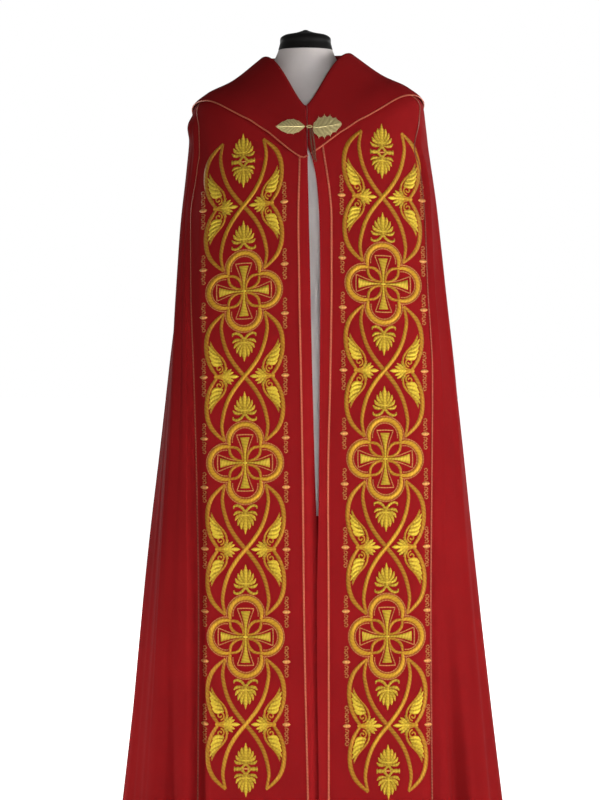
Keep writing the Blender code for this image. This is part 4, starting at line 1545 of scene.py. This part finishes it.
    def quatrefoil(self) -> list[Stroke]:
        """A quatrefoil about its middle: four ringed lobes, a splayed cross and four pointed petals.

        Returns:
            Its strokes.
        """
        strokes = []
        for lobe_at, swap in ((21.6, False), (19.4, True)):
            centre = (0.0, -lobe_at)
            ring = Stroke(arc(centre, 16.1, -196, 16), (3.0,) + (4.9,) * 5 + (3.0,), Thread.STRAP, 0.0013, 0.75, 37)
            arm_line = ((0, -1), (0, -7.6), (0, -14.2), (0, -20), (0, -24.8))
            thread, tone = (Thread.LEAF, (0.3, 0.4, 0.5, 0.5)) if swap else (Thread.PALM, (0.75, 0.65, 0.55, 0.55))
            arm = Stroke(arm_line, (1.8, 2.2, 4.3, 7.4, 10.6), thread, 0.0013, tone, 15)
            *fine_rings, bar, outline = stitched(
                Thread.FINE,
                (arc(centre, 19.2, -188, 8), (1.3,) * 3, 0.0010, 0.35, 35),
                (arc(centre, 12.8, -188, 8), (1.3,) * 3, 0.0010, 0.35, 29),
                (((-8.4, -27.2), (0, -27.6), (8.4, -27.2)), (1.2,) * 3, 0.0010, 0.55, 9),
                (((1.9, -2.6), (2.4, -9), (3.9, -15.4), (6.2, -21.6), (8.2, -26.8)), (1.1,) * 3, 0.0010, 0.45),
            )
            group = [ring] + fine_rings + [arm, bar] + two_ways([outline])
            group = [stroke.swapped() for stroke in group] if swap else group
            strokes += group + [stroke.turned(-1, -1) for stroke in group]
        petal_line = ((1.8, 1.8), (8.8, 3.1), (14.4, 8.2), (15.8, 16))
        petal = Stroke(petal_line, (2.0, 3.1, 3.1, 2.4), Thread.STRAP, 0.0012, 0.45, 17)
        boss = Stroke(((-2.4, 0), (0, 0), (2.4, 0)), (0.8, 4.2, 0.8), Thread.LEAF, 0.0019, 0.9, 9)
        return strokes + four_ways([petal, petal.swapped()]) + [boss]

    def edge_scroll(self, curls: int) -> list[Stroke]:
        """An oval bead between two short chains of small curls.

        Args:
            curls: how many curls in each chain.

        Returns:
            Its strokes.
        """
        curl_line = ((1.9, 0), (-0.6, 0.2), (-1.8, 1.6), (-0.4, 3), (1.3, 2.5), (1, 1.3))
        bead, curl = stitched(
            Thread.FINE,
            (((-3.9, 0), (-1.5, 0), (1.5, 0), (3.9, 0)), (0.8, 4.7, 4.7, 0.8), 0.0018, 0.72, 11),
            (curl_line, (0.9, 1.3, 1.4, 1.1, 0.8), 0.0009, 0.30, 11),
        )
        strokes = [bead]
        for step in range(curls):
            way = 1 if step % 2 else -1
            strokes += two_ways([curl.turned(way, 1).moved(0, 3.4 + 4.1 * step)], down=True)
        return strokes

    def all(self) -> list[Stroke]:
        """Every stroke, with down counted from the first crossing.

        Returns:
            The strokes.
        """
        strokes, sides = [], (-self.scroll_right, self.scroll_right)
        for number in range(self.crossings):
            group = self.straps() + self.volutes() + self.waist_leaves()
            group += self.end_leaf() if number == self.crossings - 1 else self.palmette()
            upper = self.palmette() if number else self.end_leaf()
            group += [stroke.turned(1, -1) for stroke in upper]
            group += [stroke.moved(side, 0) for side in sides for stroke in self.edge_scroll(4)]
            strokes += [stroke.moved(0, 2 * self.half_period * number) for stroke in group]
        for number in range(self.crossings - 1):
            group = self.quatrefoil()
            for side in sides:
                for down in (-self.scroll_down, self.scroll_down):
                    group += [stroke.moved(side, down) for stroke in self.edge_scroll(3)]
            strokes += [stroke.moved(0, self.half_period * (2 * number + 1)) for stroke in group]
        return strokes


# A stroke's section: each point's share of the half width, and of the crown's height
STROKE_SECTION = ((-1.0, 0.0), (-0.72, 0.72), (-0.28, 1.0), (0.28, 1.0), (0.72, 0.72), (1.0, 0.0))


@dataclass(frozen=True)
class Embroidery:
    """One band's ornament, raised in gold thread on the cloth."""

    word: str
    outer_side: int
    centre_x: tuple
    crossing_z: tuple
    lean: tuple
    unit_size: float = 0.00195
    skirt: float = 0.0003
    # how much the tone falls at a stroke's edges: a painted shade along its sides
    edge_painted_shade: float = 0.35

    def on_band(self, flat: Array) -> tuple[Array, Array]:
        """Find the X and Z of drawing points on the band.

        The crossings' X, Z and lean are read evenly between them, by how far down a point is, and the ends
        carry on at the mean slope. A point off the middle line moves sideways, and down by the lean.

        Args:
            flat: points to the right and down, in drawing units.

        Returns:
            Their X and their Z.
        """
        down, right = flat[..., 1] / (2 * Ornament.half_period), flat[..., 0] * self.unit_size
        rows = np.arange(len(self.crossing_z), dtype=float)
        slope_z = (self.crossing_z[-1] - self.crossing_z[0]) / (len(rows) - 1)
        slope_x = (self.centre_x[-1] - self.centre_x[0]) / (len(rows) - 1)
        beyond = down - np.clip(down, 0, rows[-1])
        x = np.interp(down, rows, self.centre_x) + beyond * slope_x + right
        z = np.interp(down, rows, self.crossing_z) + beyond * slope_z
        return x, z - np.interp(down, rows, self.lean) * self.outer_side * flat[..., 0] * self.unit_size

    def stroke_skin(self, stroke: Stroke, front: FrontMap) -> Skin:
        """Lay one stroke on the cloth.

        The spline through the stroke's points carries a section of six points: two below the cloth at
        the full width and four above it on a low crown. The widths and tones are read evenly along it and the
        crown fades at both ends. The tone falls with the cube of the way out to the edges, a painted shade
        along each stroke's sides.

        Args:
            stroke: the stroke.
            front: the cloth's front.

        Returns:
            The stroke's skin; its pattern runs along and across it in metres.
        """
        middle = spline(np.array(stroke.line, dtype=float), stroke.steps)
        part = np.linspace(0, 1, stroke.steps)
        width = np.interp(part, np.linspace(0, 1, len(stroke.widths)), stroke.widths)
        ahead = unit(np.gradient(middle, axis=0))
        beside = np.stack([-ahead[:, 1], ahead[:, 0]], axis=1)
        share, rise = np.array(STROKE_SECTION).T
        offset = width[:, None] / 2 * share
        x, z = self.on_band(middle[:, None, :] + offset[..., None] * beside[:, None, :])
        crown = stroke.crown * np.minimum(1.0, 0.35 + width / 3.0) * (0.55 + 0.45 * np.sin(np.pi * part) ** 0.35)
        crown = crown + stroke.over * bump((part - 0.5) / 0.09)
        points = front.lift(x, z, crown[:, None] * rise - self.skirt * (rise == 0))
        run = np.concatenate([[0.0], np.cumsum(np.linalg.norm(np.diff(middle, axis=0), axis=1))]) * self.unit_size
        uv = np.stack([np.broadcast_to(run[:, None], x.shape), offset * self.unit_size], axis=-1)
        index = np.arange(x.size).reshape(x.shape)
        near, far = index[:-1], index[1:]
        sides = [corners([near[:, k], near[:, k - 5], far[:, k - 5], far[:, k]]) for k in range(6)]
        ends = [index[0][[[5, 4, 1, 0], [4, 3, 2, 1]]], index[-1][[[0, 1, 4, 5], [1, 2, 3, 4]]]]
        quads = np.concatenate(sides + ends)
        tone = np.atleast_1d(stroke.tone)
        along = np.interp(part, np.linspace(0, 1, len(tone)), tone)
        # darker towards the stroke's edges: a painted shade along each side
        tones = along[:, None] - self.edge_painted_shade * np.abs(share) ** 3
        return Skin(points.reshape(-1, 3), quads, uv.reshape(-1, 2)[quads], tones.reshape(-1))

    def build(self, front: FrontMap, finishes: dict[Thread, Material]) -> None:
        """Make one piece for each thread.

        Args:
            front: the cloth's front.
            finishes: each thread's material.
        """
        strokes = Ornament().all()
        for thread, finish in finishes.items():
            skins = [self.stroke_skin(stroke, front) for stroke in strokes if stroke.thread is thread]
            piece = joined(skins).made(f"embroidery_{thread.value}_{self.word}", 60.0)
            dressed(piece, finish, "gold_braid")


# ---- Clasp ----


@dataclass(frozen=True)
class ClaspLeaf:
    """One cast leaf of the clasp: a plate with a rib, side veins and a toothed edge."""

    name: str
    stalk_x: float
    stalk_z: float
    length: float
    width: float
    slope: float
    fullness: float
    teeth: int
    tooth_depth: float
    fine_teeth: int
    veins: int
    skew: float = 0.9
    edge: float = 0.0010
    thickness: float = 0.0024
    point: float = 0.8
    fine_share: float = 0.45
    rib_height: float = 0.0005
    rib_width: float = 0.11
    vein_height: float = 0.00024
    vein_slant: float = 0.24
    full_relief: float = 0.0011
    stations: int = 141
    columns: int = 57

    def build(self, finish: Material) -> None:
        """Make the leaf.

        Its half width is a power of a sine along it, times one plus two rows of pointed teeth, large and
        small, each a power of a sine's size. Its height is the rim's, plus a crown, a narrow cosine ridge
        for the rib and slanting cosine ridges for the veins.

        Args:
            finish: its material.
        """
        origin, across, up, outward = clasp_frame(self.stalk_x + self.length / 2, self.stalk_z)
        along = np.linspace(0.0, 1.0, self.stations)[:, None]
        share = np.linspace(-1.0, 1.0, self.columns)[None, :]
        large, small = (1 - 2 * np.abs(np.sin(np.pi * n * along)) ** self.point for n in (self.teeth, self.fine_teeth))
        tooth = 1 + self.tooth_depth * (large + self.fine_share * small)
        half = np.maximum(self.width / 2 * np.sin(np.pi * along**self.skew) ** self.fullness * tooth, self.edge)
        flat_x = (along - 0.5) * self.length + 0 * share
        flat_z = share * half + self.slope * abs(self.length) * along
        crown = (self.thickness - self.edge) * (1 - share**2) * np.sin(np.pi * along)
        rib_fade = np.sin(np.pi * np.clip(along * 0.95 + 0.05, 0, 1)) ** 0.3
        rib = self.rib_height * bump(share / self.rib_width) * rib_fade
        wave = np.cos(2 * np.pi * self.veins * (along - self.vein_slant * np.abs(share)))
        vein = self.vein_height * wave * (1 - share**4) * np.minimum(1, 6 * np.abs(share))
        vein = vein * np.sin(np.pi * along) ** 0.5
        thick = self.edge + crown * 0.8 + rib + vein
        base = origin + flat_x[..., None] * across + flat_z[..., None] * up
        front = base + thick[..., None] * outward
        tones = np.clip(0.5 + (0.6 * rib + vein) / self.full_relief + 0.3 * share**8, 0, 1)
        if self.length < 0:
            base, front, tones = base[::-1], front[::-1], tones[::-1]
        front, base = front.transpose(1, 0, 2)[::-1], base.transpose(1, 0, 2)[::-1]
        piece = wall_skin(front, base, tones=tones.T[::-1]).made(self.name)
        dressed(piece, finish, "clasp_brass", "clasp_" + self.name.replace("cast_", ""))


def clasp_frame(x: float, z: float) -> tuple[Array, Array, Array, Array]:
    """A point just outside the collar and the directions across, up and out of it there.

    Args:
        x: how far across.
        z: how high.

    Returns:
        The point and the three directions.
    """
    angle, level = FORM.front_place(np.array([x]), np.array([z]), 40)
    outward = FORM.normal(angle, level)[0]
    across = unit(np.cross((0.0, 0.0, 1.0), outward))
    collar = ShawlCollar()
    clear = collar.fall + collar.cloth / 2 + CLASP_GAP
    return FORM.point(angle, level)[0] + outward * clear, across, np.cross(outward, across), outward


@dataclass(frozen=True)
class ClaspChain:
    """The oval link between the leaves and the short doubled chain that hangs from it."""

    link_x: float = 0.0072
    link_z: float = 1.4215
    link_size: tuple = (0.0125, 0.0065)
    link_wire: float = 0.0011
    top: tuple = (0.0108, 1.4170)
    foot: tuple = (0.0178, 1.3575)
    clearance: float = 0.0026
    ring_length: float = 0.0058
    ring_width: float = 0.0043
    ring_wire: float = 0.00088
    hook_radius: float = 0.0032
    hook_wire: float = 0.0007
    strands: tuple = ((-0.0026, -0.0004), (0.0022, 0.0004))

    def ring(self, middle: Array, ahead: Array, facing: Array, size: tuple, wire: float, steps: int) -> Skin:
        """One oval ring of wire: an ellipse in the plane of two directions, swept by a round section.

        Args:
            middle: its middle.
            ahead: its long direction.
            facing: the way that it faces.
            size: its length and width.
            wire: the wire's radius.
            steps: how many sections it has.

        Returns:
            The ring.
        """
        turns = circle(steps)
        beside = unit(np.cross(facing, ahead))
        long_way = (size[0] / 2 - wire) * np.cos(turns)[:, None] * unit(ahead)
        path = middle + long_way + (size[1] / 2 - wire) * np.sin(turns)[:, None] * beside
        outward = np.broadcast_to(unit(facing), path.shape)
        return tube_skin(sweep(path, outward, (wire, wire), 8, closed=True), closed=True)

    def build(self, finish: Material, dark: Material) -> None:
        """Make the link, and both dark strands of the chain ring by ring, each ring turned a quarter.

        Args:
            finish: the link's material.
            dark: the chain's material.
        """
        origin, across, up, outward = clasp_frame(self.link_x, self.link_z)
        link = self.ring(origin + outward * 2 * self.link_wire, across, outward, self.link_size, self.link_wire, 48)
        dressed(joined([link]).made("oval_link"), finish, "clasp_brass", "clasp_link")
        top, side, _, out = clasp_frame(*self.top)
        foot = clasp_frame(*self.foot)[0]
        pitch = self.ring_length - 2.6 * self.ring_wire
        count = int(np.linalg.norm(foot - top) / pitch)
        ahead = unit(foot - top)
        skins = []
        for strand, sway in self.strands:
            for number in range(count):
                part = (number + 0.5) / count
                middle = top + (foot - top) * part + out * self.clearance
                middle = middle + side * (strand * math.sin(math.pi * (0.12 + 0.8 * part)) + sway)
                turn = math.radians(45 + 90 * (number % 2))
                facing = math.cos(turn) * out + math.sin(turn) * unit(np.cross(ahead, out))
                skins.append(self.ring(middle, ahead, facing, (self.ring_length, self.ring_width), self.ring_wire, 20))
        hook_turn = np.linspace(-0.4, 1.45 * np.pi, 30)[:, None]
        bend = np.sin(hook_turn) * side - np.cos(hook_turn) * -ahead
        hook = foot + out * self.clearance + self.hook_radius * bend + ahead * 0.001
        skins.append(tube_skin(sweep(hook, np.broadcast_to(out, hook.shape), (self.hook_wire, self.hook_wire), 8)))
        dressed(joined(skins).made("doubled_chain"), dark, "clasp_brass", "clasp_chain")


# ---- Dress form ----


@dataclass(frozen=True)
class DressForm:
    """The limbless form: a jersey-covered torso, a painted neck cap, and its pole and base."""

    rings: int = 150
    segments: int = 160
    cap_segments: int = 96

    def build_torso(self, finish: Material) -> None:
        """Make the torso: each ring is half an ellipse in front and half of another behind.

        Args:
            finish: its material.
        """
        heights = column(TORSO, "height")
        row = np.linspace(0, len(TORSO) - 1, self.rings)
        height = smooth(row, np.arange(len(TORSO), dtype=float), heights)[:, None]
        turns = circle(self.segments)
        x = smooth(height, heights, column(TORSO, "half_width")) * np.cos(turns)
        front, back = (smooth(height, heights, column(TORSO, name)) for name in ("front", "back"))
        y = np.where(np.sin(turns) < 0, front, back) * np.sin(turns)
        loops = np.stack([x, y, np.broadcast_to(height, x.shape)], axis=-1)
        piece = tube_skin(loops).made("padded_torso")
        dressed(piece, finish, "form_cover", "form_torso")

    def build_cap(self, finish: Material) -> None:
        """Turn the neck cap's profile about the form's axis, with a spline between its corners.

        Args:
            finish: its material.
        """
        profile = spline(np.stack([column(NECK_CAP, "radius"), column(NECK_CAP, "height")], axis=1), 60)
        turns = circle(self.cap_segments)
        x, y = profile[:, :1] * np.cos(turns), profile[:, :1] * np.sin(turns)
        loops = np.stack([x, y, np.broadcast_to(profile[:, 1:], x.shape)], axis=-1)
        dressed(tube_skin(loops).made("neck_cap"), finish, "form_black", "form_neck_cap")

    def paint_stand(self, finish: Material) -> None:
        """Give the pole and the base, which keep their CAD shapes, their paint.

        Args:
            finish: its material.
        """
        for name in ("form_pole", "form_base"):
            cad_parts[name].data.materials.clear()
            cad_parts[name].data.materials.append(finish)


# ---- Studio ----


class SoftBox(NamedTuple):
    """A square soft light: the way round it stands, in degrees from the front, how far off and how high,
    the height that it points at, its size and power, and the angle that its grid lets light out in."""

    name: str
    turn: float
    away: float
    height: float
    aim: float
    size: float
    power: float
    grid: float


SOFT_BOXES = table(
    SoftBox,
    ("gridded_low_front", 4.0, 5.0, 0.6, 0.5, 1.4, 7.6, 40.0),
    ("gridded_low_right", 25.0, 5.0, 0.5, 0.35, 1.4, 2.0, 40.0),
    ("gridded_low_left", -30.0, 5.0, 0.5, 0.35, 1.4, 2.4, 40.0),
    ("soft_side_right", 60.0, 4.5, 1.0, 0.8, 1.6, 115.0, 180.0),
    ("soft_edge_right", 85.0, 4.5, 1.0, 0.8, 1.6, 60.0, 180.0),
    ("gridded_edge_left", -88.0, 4.5, 0.2, 0.12, 0.5, 1.6, 17.0),
    ("soft_back_left", -147.0, 4.8, 1.2, 0.9, 1.6, 70.0, 180.0),
    ("soft_back_right", 147.0, 4.8, 1.2, 0.9, 1.6, 80.0, 180.0),
)


@dataclass(frozen=True)
class Studio:
    """A pale floor, a pale room, soft lights and the camera."""

    camera_at: tuple = (-0.011, -5.5, 1.05)
    tilt_down: float = 1.7194
    lens: float = 122.99
    room: float = 0.20
    floor_size: float = 60.0

    def light(self, box: SoftBox) -> None:
        """Add one square soft light, turned towards the object's axis.

        Args:
            box: the light's sizes.
        """
        data = bpy.data.lights.new(box.name, "AREA")
        data.size, data.energy, data.spread = box.size, box.power, math.radians(box.grid)
        lamp = placed(box.name, data)
        turn = math.radians(box.turn)
        lamp.location = (box.away * math.sin(turn), -box.away * math.cos(turn), box.height)
        aim = Vector((0.0, 0.0, box.aim)) - lamp.location
        lamp.rotation_euler = aim.to_track_quat("-Z", "Y").to_euler()

    def build(self, paper: Material) -> None:
        """Make the floor, the world, the lights and the camera.

        Args:
            paper: the floor's material.
        """
        half = self.floor_size / 2
        corners = np.array([[-half, -half, 0], [half, -half, 0], [half, half, 0], [-half, half, 0]])
        floor = Skin(corners, np.array([[0, 1, 2, 3]]), corners[None, :, :2]).made("studio_floor")
        floor.data.materials.append(paper)
        floor.visible_diffuse = False
        world = bpy.data.worlds.new("pale_room")
        world.use_nodes = True
        tree = world.node_tree
        seen = add_node(tree, "LightPath", {}, {}).outputs["Is Camera Ray"]
        strength = counted(tree, "MULTIPLY_ADD", seen, 1.0 - self.room, self.room)
        fill(tree, tree.nodes["Background"], {"Color": linear("#FFFFFF"), "Strength": strength})
        bpy.context.scene.world = world
        for box in SOFT_BOXES:
            self.light(box)
        bpy.context.scene.view_settings.view_transform = "Standard"
        data = bpy.data.cameras.new("view_camera")
        data.lens, data.sensor_width = self.lens, 36.0
        data.clip_end = 200.0
        camera = placed("view_camera", data)
        camera.location = self.camera_at
        camera.rotation_euler = (math.radians(90 - self.tilt_down), 0.0, 0.0)
        bpy.context.scene.camera = camera


def main() -> None:
    """Build the cope, its form and the studio."""
    logging.basicConfig(level=logging.INFO, format="%(name)s: %(message)s")
    finishes = Finishes()
    Studio().build(finishes.floor)
    DressForm().build_torso(finishes.cover)
    DressForm().build_cap(finishes.cap)
    DressForm().paint_stand(finishes.stand)
    for side in (-1, 1):
        band = FrontBand(side)
        band.build_band(finishes.band)
        band.build_border(finishes.border)
    BodyCloth().build(finishes.body)
    ShawlCollar().build(finishes.collar)
    ShawlCollar().build_piping(finishes.braid)
    for braid in BRAIDS:
        braid.build(finishes.braid)
    front = FrontMap((-0.240, 0.050), (0.270, 1.440))
    threads = dict(zip(Thread, (finishes.strap, finishes.leaf, finishes.palm, finishes.fine)))
    left_z, right_z = (1.269, 0.936, 0.598, 0.256), (1.286, 0.947, 0.602, 0.253)
    Embroidery("left", -1, (-0.1216, -0.1196, -0.1173, -0.1173), left_z, (0.10, 0.03, 0.0, 0.0)).build(front, threads)
    Embroidery("right", 1, (0.1501, 0.1538, 0.1577, 0.1606), right_z, (0.05, 0.02, 0.0, 0.0)).build(front, threads)
    ClaspLeaf("cast_leaf_left", -0.0012, 1.4220, -0.0565, 0.0310, 0.00, 0.90, 5, 0.05, 13, 8).build(finishes.brass)
    ClaspLeaf("cast_leaf_right", 0.0142, 1.4190, 0.0560, 0.0450, 0.15, 0.62, 5, 0.13, 20, 6, 0.72).build(finishes.brass)
    ClaspChain().build(finishes.brass, finishes.chain)


if __name__ == "__main__":
    main()
